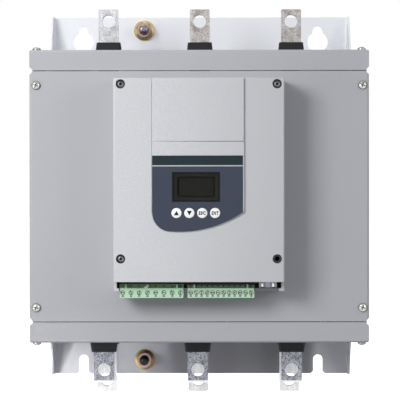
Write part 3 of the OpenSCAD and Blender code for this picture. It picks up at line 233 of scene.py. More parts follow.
class ShaderTree:
    """The node tree of a material or of the world."""

    def __init__(self, name: str, world: bpy.types.World | None = None) -> None:
        """Empties the world's tree, or makes an empty material.

        Args:
            name: the new material's name.
            world: the world to fill, or None for a material.
        """
        self.owner = world or bpy.data.materials.new(name)
        self.owner.use_nodes = True
        self.nodes = self.owner.node_tree.nodes
        self.links = self.owner.node_tree.links
        self.nodes.clear()

    def put(self, target: bpy.types.NodeSocket, value: Any) -> None:
        """Sets or links one input.

        Args:
            target: the input.
            value: a Socket, a number, or a colour or vector.
        """
        if isinstance(value, Socket):
            self.links.new(value.link, target)
        elif target.type == "RGBA":
            target.default_value = (*value, 1.0)
        else:
            target.default_value = value

    def node(
        self,
        kind: str,
        settings: dict[str, Any] | None = None,
        inputs: dict[str | int, Any] | None = None,
        output: str | int = 0,
    ) -> Socket:
        """Creates any node, with its settings first and its sockets after.

        Args:
            kind: the node's type.
            settings: its properties, such as a Math node's operation.
            inputs: values or links by socket name or number.
            output: the socket to hand back.

        Returns:
            The chosen output.
        """
        made = self.nodes.new(kind)
        for key, value in (settings or {}).items():
            setattr(made, key, value)
        for key, value in (inputs or {}).items():
            self.put(made.inputs[key], value)
        return Socket(self, made.outputs[output] if made.outputs else None)

    def place(self, stretch: Triple = WHOLE) -> Socket:
        """Returns the point on the object, in metres, stretched by axis.

        Args:
            stretch: a factor for each axis.

        Returns:
            The point as a vector.
        """
        point = self.node("ShaderNodeTexCoord", output="Object")
        return self.node("ShaderNodeVectorMath", {"operation": "MULTIPLY"}, {0: point, 1: stretch})

    def along(self, axis: Axis) -> Socket:
        """Returns one coordinate of the point on the object, in millimetres.

        Args:
            axis: the axis to read.

        Returns:
            The coordinate.
        """
        point = self.place((1 / MM, 1 / MM, 1 / MM))
        return self.node("ShaderNodeSeparateXYZ", None, {0: point}, axis.value)

    def reach(self, places: Sequence[Pair]) -> Socket:
        """Returns how far the point is from the nearest of some axes that run front to back.

        Args:
            places: each axis as its x and z, in millimetres.

        Returns:
            The distance in millimetres.
        """
        flat = self.place((1 / MM, 0.0, 1 / MM))
        settings = {"operation": "DISTANCE"}
        reaches = [
            self.node("ShaderNodeVectorMath", settings, {0: flat, 1: (x, 0.0, z)}, "Value") for x, z in places
        ]
        return reduce(Socket.least, reaches)

    def mix(self, factor: Socket | float, first: Any, second: Any) -> Socket:
        """Mixes two colours.

        Args:
            factor: 0 gives the first colour and 1 the second.
            first: a colour or a link.
            second: a colour or a link.

        Returns:
            The mixed colour.
        """
        inputs = {Blend.FACTOR.value: factor, Blend.FIRST.value: first, Blend.SECOND.value: second}
        return self.node("ShaderNodeMix", {"data_type": "RGBA"}, inputs, Blend.RESULT.value)

    def bump(self, height: Socket, depth: float) -> Socket:
        """Turns a height into a normal.

        Args:
            height: the height from 0 to 1.
            depth: what 1 means, in metres.

        Returns:
            The bent normal.
        """
        return self.node("ShaderNodeBump", None, {"Distance": depth, "Height": height})

    def surface(self, **inputs: Any) -> bpy.types.Material:
        """Closes the tree with a Principled surface.

        Args:
            **inputs: its sockets, with underscores for spaces.

        Returns:
            The finished material.
        """
        named = {key.replace("_", " "): value for key, value in inputs.items()}
        shader = self.node("ShaderNodeBsdfPrincipled", None, named)
        self.close(shader)
        return self.owner

    def close(self, shader: Socket, kind: str = "ShaderNodeOutputMaterial") -> None:
        """Links a shader to the tree's output, which is of the given type."""
        self.node(kind, None, {"Surface": shader})


@dataclass(frozen=True)
class Zone:
    """A part of a finish that has another colour."""

    colour: Colour

    def mask(self, tree: ShaderTree) -> Socket:
        """Returns 1 inside the zone and 0 outside.

        Args:
            tree: the tree that gets the nodes.

        Returns:
            The mask.
        """
        raise NotImplementedError


@dataclass(frozen=True)
class Beyond(Zone):
    """What lies past a place along an axis, in millimetres."""

    axis: Axis
    start: float
    end: float

    def mask(self, tree: ShaderTree) -> Socket:
        """Returns a mask that rises from start to end."""
        return tree.along(self.axis).between(self.start, self.end)


@dataclass(frozen=True)
class Around(Zone):
    """What lies around some axes that run front to back."""

    places: tuple[Pair, ...]
    inner: float
    outer: float

    def mask(self, tree: ShaderTree) -> Socket:
        """Returns a mask that falls from the inner to the outer radius."""
        return tree.reach(self.places).between(self.outer, self.inner)


@dataclass(frozen=True)
class Boxed(Zone):
    """What lies between two corners of a box."""

    low: Triple
    high: Triple
    before: Triple = (0.2, 0.2, 0.2)
    after: Triple = (0.2, 0.2, 0.2)

    def mask(self, tree: ShaderTree) -> Socket:
        """Returns a mask that fades out before the low corner and after the high one.

        Args:
            tree: the tree that gets the nodes.

        Returns:
            The mask.
        """
        inside: Socket | float = 1.0
        for axis, low, high, before, after in zip(Axis, self.low, self.high, self.before, self.after):
            place = tree.along(axis)
            inside = place.between(low - before, low) * place.between(high + after, high) * inside
        return inside


@dataclass(frozen=True)
class Grain:
    """A noise over a surface, in cells a metre, or the part of it in a band."""

    scale: float
    detail: float = 2.0
    band: Pair | None = None
    stretch: Triple = WHOLE

    def value(self, tree: ShaderTree) -> Socket:
        """Adds the noise.

        Args:
            tree: the tree that gets the nodes.

        Returns:
            The noise around its middle, or a mask that rises over the band.
        """
        inputs = {"Scale": self.scale, "Detail": self.detail, "Roughness": NOISE_ROUGHNESS}
        noise = tree.node("ShaderNodeTexNoise", None, {"Vector": tree.place(self.stretch), **inputs}, "Fac")
        return noise.between(*self.band) if self.band else noise


@dataclass(frozen=True)
class Fleck:
    """How much spots cover, and their tone as a factor on the colour."""

    share: float
    tone: float


@dataclass(frozen=True)
class Finish:
    """A surface finish that becomes one material."""

    name: str
    colour: Colour
    roughness: float
    grain: Grain = Grain(1000.0)
    spread: float = 0.2
    depth: float = 0.00002
    metal: float = 0.0
    gloss: float = 0.5
    zones: tuple[Zone, ...] = ()

    def material(self) -> bpy.types.Material:
        """Builds the material, or returns it if it was built before."""
        return bpy.data.materials.get(self.name) or self.build(ShaderTree(self.name))

    def build(self, tree: ShaderTree) -> bpy.types.Material:
        """Fills the tree with the finish's colour and a grain that roughness and bump follow.

        Args:
            tree: an empty tree.

        Returns:
            The finished material.
        """
        grain = self.grain.value(tree)
        return tree.surface(
            Base_Color=self.base(tree, grain),
            Metallic=self.metal,
            Roughness=self.uneven(grain),
            Specular_IOR_Level=self.gloss,
            Normal=tree.bump(grain, self.depth),
        )

    def base(self, tree: ShaderTree, grain: Socket) -> Socket:
        """Makes the colour.

        Args:
            tree: the tree that gets the nodes.
            grain: the finish's grain.

        Returns:
            The colour, zones included.
        """
        raise NotImplementedError

    def uneven(self, grain: Socket) -> Socket:
        """Returns the roughness, which follows the grain."""
        return self.roughness + (grain - NOISE_MIDDLE) * self.spread

    def zoned(self, tree: ShaderTree, base: Socket) -> Socket:
        """Changes a colour inside the finish's zones.

        Args:
            tree: the tree that the colour belongs to.
            base: the colour.

        Returns:
            The colour, zones included.
        """
        for zone in self.zones:
            base = tree.mix(zone.mask(tree), base, zone.colour)
        return base

    def toned(self, tree: ShaderTree, mask: Socket, tones: Pair) -> Socket:
        """Returns the colour between two tones, which are factors on it."""
        dark, light = tones
        return tree.mix(mask, shade(self.colour, dark), shade(self.colour, light))

    def flecked(self, tree: ShaderTree, base: Socket, mask: Socket, fleck: Fleck) -> Socket:
        """Returns a colour with spots where the mask is 1."""
        return tree.mix(mask * fleck.share, base, shade(self.colour, fleck.tone))


@dataclass(frozen=True, kw_only=True)
class PowderCoat(Finish):
    """Paint baked on sheet metal, with a fine orange peel."""

    grain: Grain = Grain(900.0, 3.0)
    spread: float = 0.18
    depth: float = 0.00006
    clouds: Grain = Grain(9.0)
    mottle: float = 0.035
    peel: Fleck = Fleck(0.12, 0.8)
    specks: Grain = Grain(2600.0, 1.0, (0.70, 0.78))
    speck: Fleck = Fleck(0.18, 0.6)

    def base(self, tree: ShaderTree, grain: Socket) -> Socket:
        """Makes the colour, with faint clouds, peel and a few specks.

        Args:
            tree: the tree that gets the nodes.
            grain: the peel.

        Returns:
            The colour, zones included.
        """
        base = self.toned(tree, self.clouds.value(tree), span(1.0, self.mottle))
        base = self.flecked(tree, self.zoned(tree, base), grain, self.peel)
        return self.flecked(tree, base, self.specks.value(tree), self.speck)


@dataclass(frozen=True, kw_only=True)
class Moulding(Finish):
    """Moulded plastic with an eroded grain."""

    grain: Grain = Grain(1600.0)
    spread: float = 0.22
    depth: float = 0.00004
    gloss: float = 0.35
    clouds: Grain = Grain(14.0)
    cloud_tones: Pair = (0.965, 1.03)
    patches: Grain = Grain(620.0, 1.0, (0.3, 0.7))
    patch: Fleck | None = None
    pore_band: Pair = (0.35, 0.7)
    pore: Fleck = Fleck(0.10, 0.82)

    def base(self, tree: ShaderTree, grain: Socket) -> Socket:
        """Makes the colour, with pores and faint flow clouds.

        Args:
            tree: the tree that gets the nodes.
            grain: the eroded grain.

        Returns:
            The colour, zones included.
        """
        base = self.toned(tree, self.clouds.value(tree), self.cloud_tones)
        if self.patch:
            base = self.flecked(tree, base, self.patches.value(tree), self.patch)
        return self.zoned(tree, self.flecked(tree, base, grain.between(*self.pore_band), self.pore))


@dataclass(frozen=True, kw_only=True)
class TinPlate(Finish):
    """Dull tin on a copper bar: long streaks, blotches and pits."""

    grain: Grain = Grain(420.0, 4.0, stretch=(1.0, 1.0, 0.07))
    spread: float = 0.25
    depth: float = 0.00008
    metal: float = 0.75
    streak_band: Pair = (0.35, 0.7)
    streak_tones: Pair = (0.86, 1.1)
    streak_height: float = 0.4
    stain: Colour
    blotches: Grain = Grain(130.0, 5.0, (0.42, 0.68))
    blotch: float
    blotch_rough: float = 0.16
    pits: Grain = Grain(900.0, 1.0, (0.47, 0.62))
    pit: float
    pit_tone: float = 0.7
    pit_height: float = -0.6

    def build(self, tree: ShaderTree) -> bpy.types.Material:
        """Fills the tree with streaks along the bar, blotches and pits.

        Args:
            tree: an empty tree.

        Returns:
            The finished material.
        """
        streaks, blotches, pits = self.grain.value(tree), self.blotches.value(tree), self.pits.value(tree)
        base = self.toned(tree, streaks.between(*self.streak_band), self.streak_tones)
        base = tree.mix(blotches * self.blotch, base, self.stain)
        base = self.zoned(tree, tree.mix(pits * self.pit, base, shade(self.stain, self.pit_tone)))
        rough = self.uneven(streaks) + blotches * self.blotch_rough
        normal = tree.bump(streaks * self.streak_height + pits * self.pit_height, self.depth)
        return tree.surface(Base_Color=base, Metallic=self.metal, Roughness=rough, Normal=normal)


@dataclass(frozen=True, kw_only=True)
class PlatedSteel(Finish):
    """Plated or oxidised steel with fine marks from handling."""

    grain: Grain = Grain(900.0, 3.0)
    spread: float = 0.24
    depth: float = 0.00003
    metal: float = 1.0
    tint: Colour
    tints: Grain = Grain(160.0, 2.0, (0.4, 0.65))
    tint_share: float = 0.55

    def base(self, tree: ShaderTree, grain: Socket) -> Socket:
        """Returns the colour with a change of tint."""
        mask = self.tints.value(tree) * self.tint_share
        return self.zoned(tree, tree.mix(mask, self.colour, self.tint))


@dataclass(frozen=True, kw_only=True)
class PrintedFilm(Finish):
    """Polyester film printed on its back, with a fine matte face."""

    grain: Grain = Grain(2200.0)
    gloss: float = 0.12
    fade: Grain = Grain(30.0)
    fade_tones: Pair = (0.93, 1.08)

    def base(self, tree: ShaderTree, grain: Socket) -> Socket:
        """Returns the ink's colour, faintly faded."""
        return self.toned(tree, self.fade.value(tree), self.fade_tones)


@dataclass(frozen=True, kw_only=True)
class SmokedSheet(Finish):
    """Smoked clear sheet: dark, glossy and a little see-through."""

    gloss: float = 0.15
    cover: float
    left_right: Pair = (-24.5, 19.4)
    low_high: Pair = (-4.9, 22.4)
    border: float = 1.5
    border_edge: float = 0.2
    wipes: Grain = Grain(60.0, 3.0, stretch=(1.0, 1.0, 0.4))
    wipe_band: Pair = (0.45, 0.75)
    wipe_rough: float = 0.08
    wipe_cover: float = 0.06

    def build(self, tree: ShaderTree) -> bpy.types.Material:
        """Fills the tree with a dark sheet, a printed border and faint wipe marks.

        Args:
            tree: an empty tree.

        Returns:
            The finished material.
        """
        wipes = self.wipes.value(tree)
        across, up = tree.along(Axis.X), tree.along(Axis.Z)
        sides = (across - self.left_right[0]).least(self.left_right[1] - across)
        inside = sides.least(up - self.low_high[0]).least(self.low_high[1] - up)
        printed = inside.between(self.border, self.border - self.border_edge)
        return tree.surface(
            Base_Color=self.colour,
            Roughness=self.roughness + wipes.between(*self.wipe_band) * self.wipe_rough,
            Alpha=(self.cover + (wipes - NOISE_MIDDLE) * self.wipe_cover).most(printed),
            Specular_IOR_Level=self.gloss,
        )


@dataclass(frozen=True, kw_only=True)
class SolderMask(Finish):
    """A circuit board's mask with tracks under it."""

    grain: Grain = Grain(800.0)
    spread: float = 0.1
    tracks: float = 260.0
    offset: float = 0.37
    squash: float = 0.6
    gap: float = 0.03
    tones: Triple = (0.9, 1.25, 1.8)

    def base(self, tree: ShaderTree, grain: Socket) -> Socket:
        """Makes the colour, with tracks and pads that show through the mask.

        Args:
            tree: the tree that gets the nodes.
            grain: the mask's grain; not used.

        Returns:
            The colour.
        """
        inputs = {"Vector": tree.place(), "Scale": self.tracks, "Mortar Size": self.gap}
        for part, tone in zip(("Color1", "Color2", "Mortar"), self.tones):
            inputs[part] = shade(self.colour, tone)
        settings = {"offset": self.offset, "squash": self.squash}
        return tree.node("ShaderNodeTexBrick", settings, inputs, "Color")


SEAM_HEIGHT = 118.35
SEAM_HALF = 2.5
# Painted shadow of the case on the lower plate: two soft grey boxes on its front face.
PLATE_PAINTED_SHADOWS = ((paint(226, 228, 234), -138.0, 12.0), (paint(158, 159, 165), 8.0, 92.0))
UNIT_SCREWS = tuple((x, z) for x in (-71.9, 71.9) for z in (-57.3, 103.3))

CASE_GREY = PowderCoat("case powder coat", paint(176, 177, 182), 0.55)
PLATE_WHITE = PowderCoat(
    "plate powder coat",
    paint(248, 250, 255),
    0.6,
    grain=Grain(700.0, 3.0),
    mottle=0.02,
    # The zones are painted shadow of the case, on the plate's front face only.
    zones=tuple(
        Boxed(tone, (left, -60.0, -300.0), (112.0, -1.0, -130.0), (fade, 0.2, 0.2), (14.0, 0.2, 40.0))
        for tone, left, fade in PLATE_PAINTED_SHADOWS
    ),
)
UNIT_GREY = Moulding(
    "control unit moulding",
    paint(208, 209, 213),
    0.46,
    gloss=0.6,
    patch=Fleck(0.3, 0.72),
    zones=(
        # Painted light falloff: the moulding grows darker towards the right, away from the lamp on the left.
        Beyond(paint(187, 188, 192), Axis.X, -70.0, 95.0),
        # Painted shade in the recesses around the four corner screws.
        Around(paint(12, 12, 13), UNIT_SCREWS, 4.2, 4.35),
        # Painted shade on the ledge between the legs, under the unit's front edge.
        Boxed(paint(104, 104, 107), (-73.7, -250.4, -88.0), (73.7, -228.0, -84.0)),
    ),
)
SHROUD_BLACK = Moulding(
    "shroud moulding",
    paint(38, 38, 40),
    0.5,
    gloss=0.15,
    zones=(Beyond(paint(50, 50, 54), Axis.Z, -60.0, -120.0),),
)
FAN_BLACK = Moulding("fan moulding", paint(36, 36, 39), 0.45)
MODULE_GREY = Moulding("module moulding", paint(62, 63, 66), 0.5)
RING_BLUE = Moulding("transformer resin", paint(34, 44, 74), 0.4)
PLUG_GREEN = Moulding("plug moulding", paint(186, 226, 192), 0.5, grain=Grain(2200.0))
HEADER_GREEN = Moulding(
    "header moulding",
    paint(104, 138, 96),
    0.5,
    grain=Grain(2200.0),
    zones=(
        # Painted shade in the headers' recess and pin holes: everything behind the front is dark.
        Beyond(paint(22, 27, 22), Axis.Y, -246.9, -246.6),
        # Painted shadow of the unit's lower edge over the signal header's upper part.
        Boxed(paint(22, 27, 22), (-12.0, -248.0, -82.3), (53.0, -225.0, -69.0)),
    ),
)
# The plugs' screw funnels are dark grey: painted shade around the clamping screws.
WELL_SHADE = Moulding("well shade", paint(92, 88, 84), 0.5, grain=Grain(2600.0))
# Dark marks below the plugs' screws.
MARK_GREEN = PrintedFilm("plug mark ink", paint(26, 46, 32), 0.5)
KEY_WHITE = Moulding("key moulding", paint(255, 255, 255), 0.45, grain=Grain(2600.0), depth=0.00002)
TAB_WHITE = Moulding("tab moulding", paint(250, 250, 250), 0.5)
# One tin for all the line bars: bar 1 gets paler blotches, and bars 2 and 3 get browner ones.
PALE_TOP_TIN = TinPlate(
    "scratched tin", paint(188, 189, 193), 0.42, stain=paint(138, 135, 136), blotch=0.45, pit=0.5
)
BROWN_TOP_TIN = TinPlate(
    "weathered tin", paint(186, 182, 180), 0.42, stain=paint(118, 108, 104), blotch=0.55, pit=0.5
)
# The load bars' tin is painted darker and bluer than the bypass bars' as painted shade; the heavy pits are
# the tin's own.
FRONT_TIN = TinPlate(
    "speckled tin",
    paint(165, 167, 174),
    0.42,
    stain=paint(98, 102, 116),
    blotch=0.3,
    pit=0.95,
    # The bars' ends, below 181 mm under the middle, are painted lighter.
    zones=(Beyond(paint(224, 223, 222), Axis.Z, -180.4, -181.0),),
)
# The bypass bars' tin is painted pale: painted light, as these bars lie in the lamps' light.
BACK_TIN = TinPlate("pale tin", paint(228, 228, 230), 0.4, stain=paint(180, 178, 178), blotch=0.3, pit=0.2)
SCREW_NICKEL = PlatedSteel("nickel plate", paint(206, 206, 205), 0.3, tint=paint(160, 160, 160))
HEAD_NICKEL = PlatedSteel(
    "cover screw plate",
    paint(190, 190, 188),
    0.28,
    tint=paint(148, 148, 146),
    # Painted shade: everything behind the heads' faces, cross recesses included, is dark.
    zones=(Beyond(paint(92, 92, 92), Axis.Y, -222.3, -221.7),),
)
# The end cover screws get a nickel painted darker than the front cover screws'.
END_NICKEL = PlatedSteel("dull nickel plate", paint(148, 148, 147), 0.34, tint=paint(112, 112, 112))
CLAMP_STEEL = PlatedSteel(
    "clamp screw plate",
    paint(186, 184, 180),
    0.34,
    tint=paint(142, 142, 138),
    # Painted shade in the slots and down the heads' sides: everything behind the faces is dark.
    zones=(Beyond(paint(62, 62, 58), Axis.Y, -248.75, -248.45),),
)
ZINC_FRAME = PlatedSteel(
    "zinc plate",
    paint(186, 188, 192),
    0.4,
    tint=paint(164, 168, 176),
    # Painted shade in the seam gaps: the frames are near-black along both cover seams.
    zones=tuple(
        Boxed(paint(26, 26, 28), (-160.0, -230.0, low), (160.0, -200.0, high))
        for low, high in (span(side * SEAM_HEIGHT, SEAM_HALF) for side in SIDES)
    ),
)
SHIELD_STEEL = PlatedSteel("socket shield", paint(136, 139, 146), 0.36, tint=paint(112, 114, 122))
SPRING_STEEL = PlatedSteel("spring steel", paint(214, 215, 219), 0.26, tint=paint(176, 178, 184))
HOOK_BRASS = PlatedSteel("dull brass", paint(176, 160, 122), 0.36, tint=paint(128, 112, 84))
CONTROL_SCREW_STEEL = PlatedSteel(
    "dark oxide",
    paint(140, 140, 143),
    0.36,
    tint=paint(112, 111, 112),
    zones=(
        # Painted shade at the heads' foot in the recesses: everything behind the heads' tops is dark.
        Beyond(paint(34, 33, 33), Axis.Y, -259.9, -259.3),
        # Painted shade of the drive recesses in the middles of the heads.
        Around(paint(36, 36, 38), UNIT_SCREWS, 1.2, 1.7),
    ),
)
YELLOW_ZINC = PlatedSteel(
    "yellow zinc",
    paint(136, 114, 104),
    0.34,
    tint=paint(116, 96, 90),
    zones=(
        Beyond(paint(186, 165, 118), Axis.Y, -6.2, -5.8),
        # Painted shade on the lower nut's flange, darker towards its right.
        Boxed(paint(112, 92, 70), (-57.0, -5.9, -200.0), (-40.0, 0.0, -150.0), before=(10.0, 0.2, 0.2)),
        Beyond(paint(164, 136, 128), Axis.Y, -11.3, -11.8),
    ),
)
STUD_STEEL = PlatedSteel(
    "stud oxide",
    paint(46, 45, 48),
    0.3,
    tint=paint(30, 29, 30),
    # The upper stud is painted lighter than the lower one: painted light, as the lower one lies in the case's
    # shadow.
    zones=(Beyond(paint(124, 123, 128), Axis.Z, -20.0, 20.0),),
)
# Dark blocks beside the socket's springs: painted shade where the shield is cut.
SLOT_SHADE = Moulding("slot shade", paint(30, 30, 32), 0.6)
SINK_METAL = PlatedSteel("extruded aluminium", paint(196, 198, 202), 0.42, tint=paint(176, 178, 184))
HEX_BRASS = PlatedSteel("turned brass", paint(206, 172, 104), 0.3, tint=paint(180, 142, 80))
CONTACT_GOLD = PlatedSteel("contact gold", paint(222, 184, 96), 0.22, tint=paint(202, 160, 80))
FILM_BLUE = PrintedFilm("keypad film", paint(64, 70, 84), 0.5)
STRIP_GREEN = PrintedFilm("name strip film", paint(35, 48, 52), 0.5)
LEGEND_INK = PrintedFilm("legend ink", paint(22, 25, 36), 0.5)
WINDOW_SMOKE = SmokedSheet("smoked window", paint(26, 26, 24), 0.16, cover=0.25)
DISPLAY_BLACK = Moulding("display block", paint(24, 24, 23), 0.35, grain=Grain(2600.0))
SURROUND_BLACK = Moulding("display surround", paint(37, 37, 35), 0.5, grain=Grain(2600.0))
# A near-black frame behind the gap around the display: painted shade of the gap.
GAP_SHADE_BLACK = Moulding("display gasket", paint(9, 9, 9), 0.7, gloss=0.1)
SEGMENT_GREY = PrintedFilm("unlit segment", paint(34, 34, 32), 0.4)
BOARD_GREEN = SolderMask("solder mask", paint(40, 92, 56), 0.35)


class MeshKit:
    """Makes mesh objects and hands them to the frame."""

    @staticmethod
    def piece(
        name: str,
        shape: Shape,
        finish: Finish,
        body: str,
        slot: str,
        replaces: Sequence[str] = (),
        smooth: bool = False,
    ) -> None:
        """Turns a shape into a piece that rides on a body.

        Args:
            name: the piece's name.
            shape: the mesh, in metres; it is freed here.
            finish: its finish.
            body: the body that carries it.
            slot: the record's material slot; not used.
            replaces: the CAD nodes that it stands for.
            smooth: whether its faces are shaded smooth.
        """
        bmesh.ops.recalc_face_normals(shape, faces=shape.faces)
        mesh = bpy.data.meshes.new(name)
        shape.to_mesh(mesh)
        shape.free()
        for polygon in mesh.polygons:
            polygon.use_smooth = smooth
        made = placed(name, mesh)
        mesh.materials.append(finish.material())
        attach(made, body)
        if replaces:
            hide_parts(*replaces)
        LOG.info("piece %s rides on %s", name, body)

    @staticmethod
    def box(shape: Shape, low: Sequence[float], high: Sequence[float], bevel: float) -> None:
        """Adds a box with rounded edges to a shape.

        Args:
            shape: the mesh that grows.
            low: lowest corner in metres.
            high: highest corner in metres.
            bevel: width of the rounded edges in metres.
        """
        middle = (Vector(low) + Vector(high)) / 2
        size = Vector(high) - Vector(low)
        matrix = Matrix.Translation(middle) @ Matrix.Diagonal((*size, 1.0))
        made = bmesh.ops.create_cube(shape, size=1.0, matrix=matrix)
        edges = list({edge for vertex in made["verts"] for edge in vertex.link_edges})
        rounding = {"offset": bevel, "segments": EDGE_SEGMENTS, "profile": EDGE_PROFILE}
        bmesh.ops.bevel(shape, geom=edges, affect="EDGES", **rounding)

    @staticmethod
    def skin(shape: Shape, rings: Sequence[Sequence[Vector]], looped: bool = False) -> None:
        """Adds a closed skin over rings of points.

        Args:
            shape: the mesh that grows.
            rings: the rings, with as many points each.
            looped: whether the last ring meets the first; otherwise each end gets a cap.
        """
        rows = [[shape.verts.new(point) for point in ring] for ring in rings]
        pairs = list(zip(rows, rows[1:]))
        if looped:
            pairs.append((rows[-1], rows[0]))
        else:
            shape.faces.new(rows[0])
            shape.faces.new(rows[-1])
        for near, far in pairs:
            for index in range(len(near)):
                shape.faces.new((near[index - 1], near[index], far[index], far[index - 1]))


@dataclass
class Dresser:
    """Gives the CAD nodes their finishes and softens their edges."""

    nodes: dict[str, bpy.types.Object]
    weld: float = 0.000002
    flat_angle: float = math.radians(0.5)
    edge_angle: float = math.radians(40.0)

    def dress(self, finish: Finish, *names: str, edge: float = 0.0) -> None:
        """Finishes some nodes.

        Args:
            finish: their finish.
            *names: the nodes.
            edge: width of the rounded edges in millimetres, or 0 for none.
        """
        for name in names:
            node = self.nodes[name]
            node.data.materials.clear()
            node.data.materials.append(finish.material())
            if edge:
                self.soften(node, edge * MM)
            LOG.info("node %s has %s", name, finish.name)

    def soften(self, node: bpy.types.Object, width: float) -> None:
        """Rounds the sharp edges of a node without touching its own mesh.

        Args:
            node: the CAD object.
            width: width of the rounded edges in metres.
        """
        weld = node.modifiers.new("weld", "WELD")
        weld.merge_threshold = self.weld
        flat = node.modifiers.new("flat", "DECIMATE")
        flat.decimate_type = "DISSOLVE"
        flat.angle_limit = self.flat_angle
        edge = node.modifiers.new("edge", "BEVEL")
        edge.width = width
        edge.segments = EDGE_SEGMENTS
        edge.limit_method = "ANGLE"
        edge.angle_limit = self.edge_angle


def numbered(stem: str, count: int = 3) -> list[str]:
    """Returns the names of like nodes, numbered from 1."""
    return [f"{stem}_{index}" for index in range(1, count + 1)]


@dataclass
class Case:
    """The mounting plate, the covers, the inner frames and their screws."""

    stud_x: float = -60.0
    stud_heights: Pair = (176.0, -175.0)
    stud_length: float = 22.0
    stud_radius: float = 5.0
    pitch: float = 1.5
    thread_start: float = 2.4
    thread_depth: float = 0.85
    thread_flank: float = 0.42
    tip: float = 2.6
    tip_curve: float = 0.85
    rows: int = 88
    steps: int = 40

    def dress(self, dresser: Dresser) -> None:
        """Finishes the sheet metal and its screws.

        Args:
            dresser: gives nodes their finishes.
        """
        dresser.dress(PLATE_WHITE, "mounting_plate", edge=0.35)
        dresser.dress(CASE_GREY, "front_cover", "top_cover", "bottom_cover", edge=0.3)
        dresser.dress(ZINC_FRAME, "left_frame", "right_frame")
        dresser.dress(HEAD_NICKEL, "front_cover_screws")
        dresser.dress(END_NICKEL, "end_cover_screws")
        dresser.dress(YELLOW_ZINC, "earth_nuts", edge=0.25)

    def build(self) -> None:
        """Cuts real threads on the earth studs."""
        shape = bmesh.new()
        for height in self.stud_heights:
            self._stud(shape, height)
        MeshKit.piece("threaded_studs", shape, STUD_STEEL, "chassis", "dark_steel", ("earth_studs",))

    def _radius(self, along: float, angle: float) -> float:
        """Returns a stud's radius, thread and tip included.

        Args:
            along: distance from the plate's back in millimetres.
            angle: angle around the stud in radians.

        Returns:
            The radius in millimetres.
        """
        turn = (along / self.pitch - angle / math.tau) % 1.0
        groove = self.thread_depth * max(0.0, 1.0 - abs(turn - 0.5) / self.thread_flank)
        if along < self.thread_start:
            groove = 0.0
        past = max(0.0, along - (self.stud_length - self.tip)) / self.tip
        taper = self.stud_radius * (1.0 - math.sqrt(1.0 - self.tip_curve * past * past))
        return self.stud_radius - max(groove, taper)

    def _stud(self, shape: Shape, height: float) -> None:
        """Adds one threaded stud, from the plate's back to its tip.

        Args:
            shape: the mesh that grows.
            height: the stud's height above the middle, in millimetres.
        """
        angles = turns(self.steps)
        place = (self.stud_x, height)
        rings = []
        for row in range(self.rows + 1):
            along = self.stud_length * row / self.rows
            rings.append([around(place, self._radius(along, angle), angle, along) for angle in angles])
        MeshKit.skin(shape, rings)


@dataclass
class PowerStage:
    """Heatsink, modules, bars, transformers, shrouds and fans."""

    def dress(self, dresser: Dresser) -> None:
        """Finishes the power parts.

        Args:
            dresser: gives nodes their finishes.
        """
        dresser.dress(SINK_METAL, "heatsink")
        dresser.dress(MODULE_GREY, *numbered("thyristor_module"))
        dresser.dress(SCREW_NICKEL, "module_screws")
        dresser.dress(PALE_TOP_TIN, "line_bar_1", edge=0.5)
        dresser.dress(BROWN_TOP_TIN, "line_bar_2", "line_bar_3", edge=0.5)
        dresser.dress(FRONT_TIN, *numbered("load_bar"), edge=0.5)
        dresser.dress(BACK_TIN, *numbered("bypass_bar"), edge=0.5)
        dresser.dress(RING_BLUE, *numbered("current_transformer"))
        dresser.dress(SHROUD_BLACK, *numbered("top_shroud"), *numbered("bottom_shroud"), edge=0.4)
        dresser.dress(FAN_BLACK, *numbered("fan_frame", 2), *numbered("fan_rotor", 2))
        dresser.dress(BOARD_GREEN, "power_board")
        dresser.dress(HEX_BRASS, "board_standoffs")


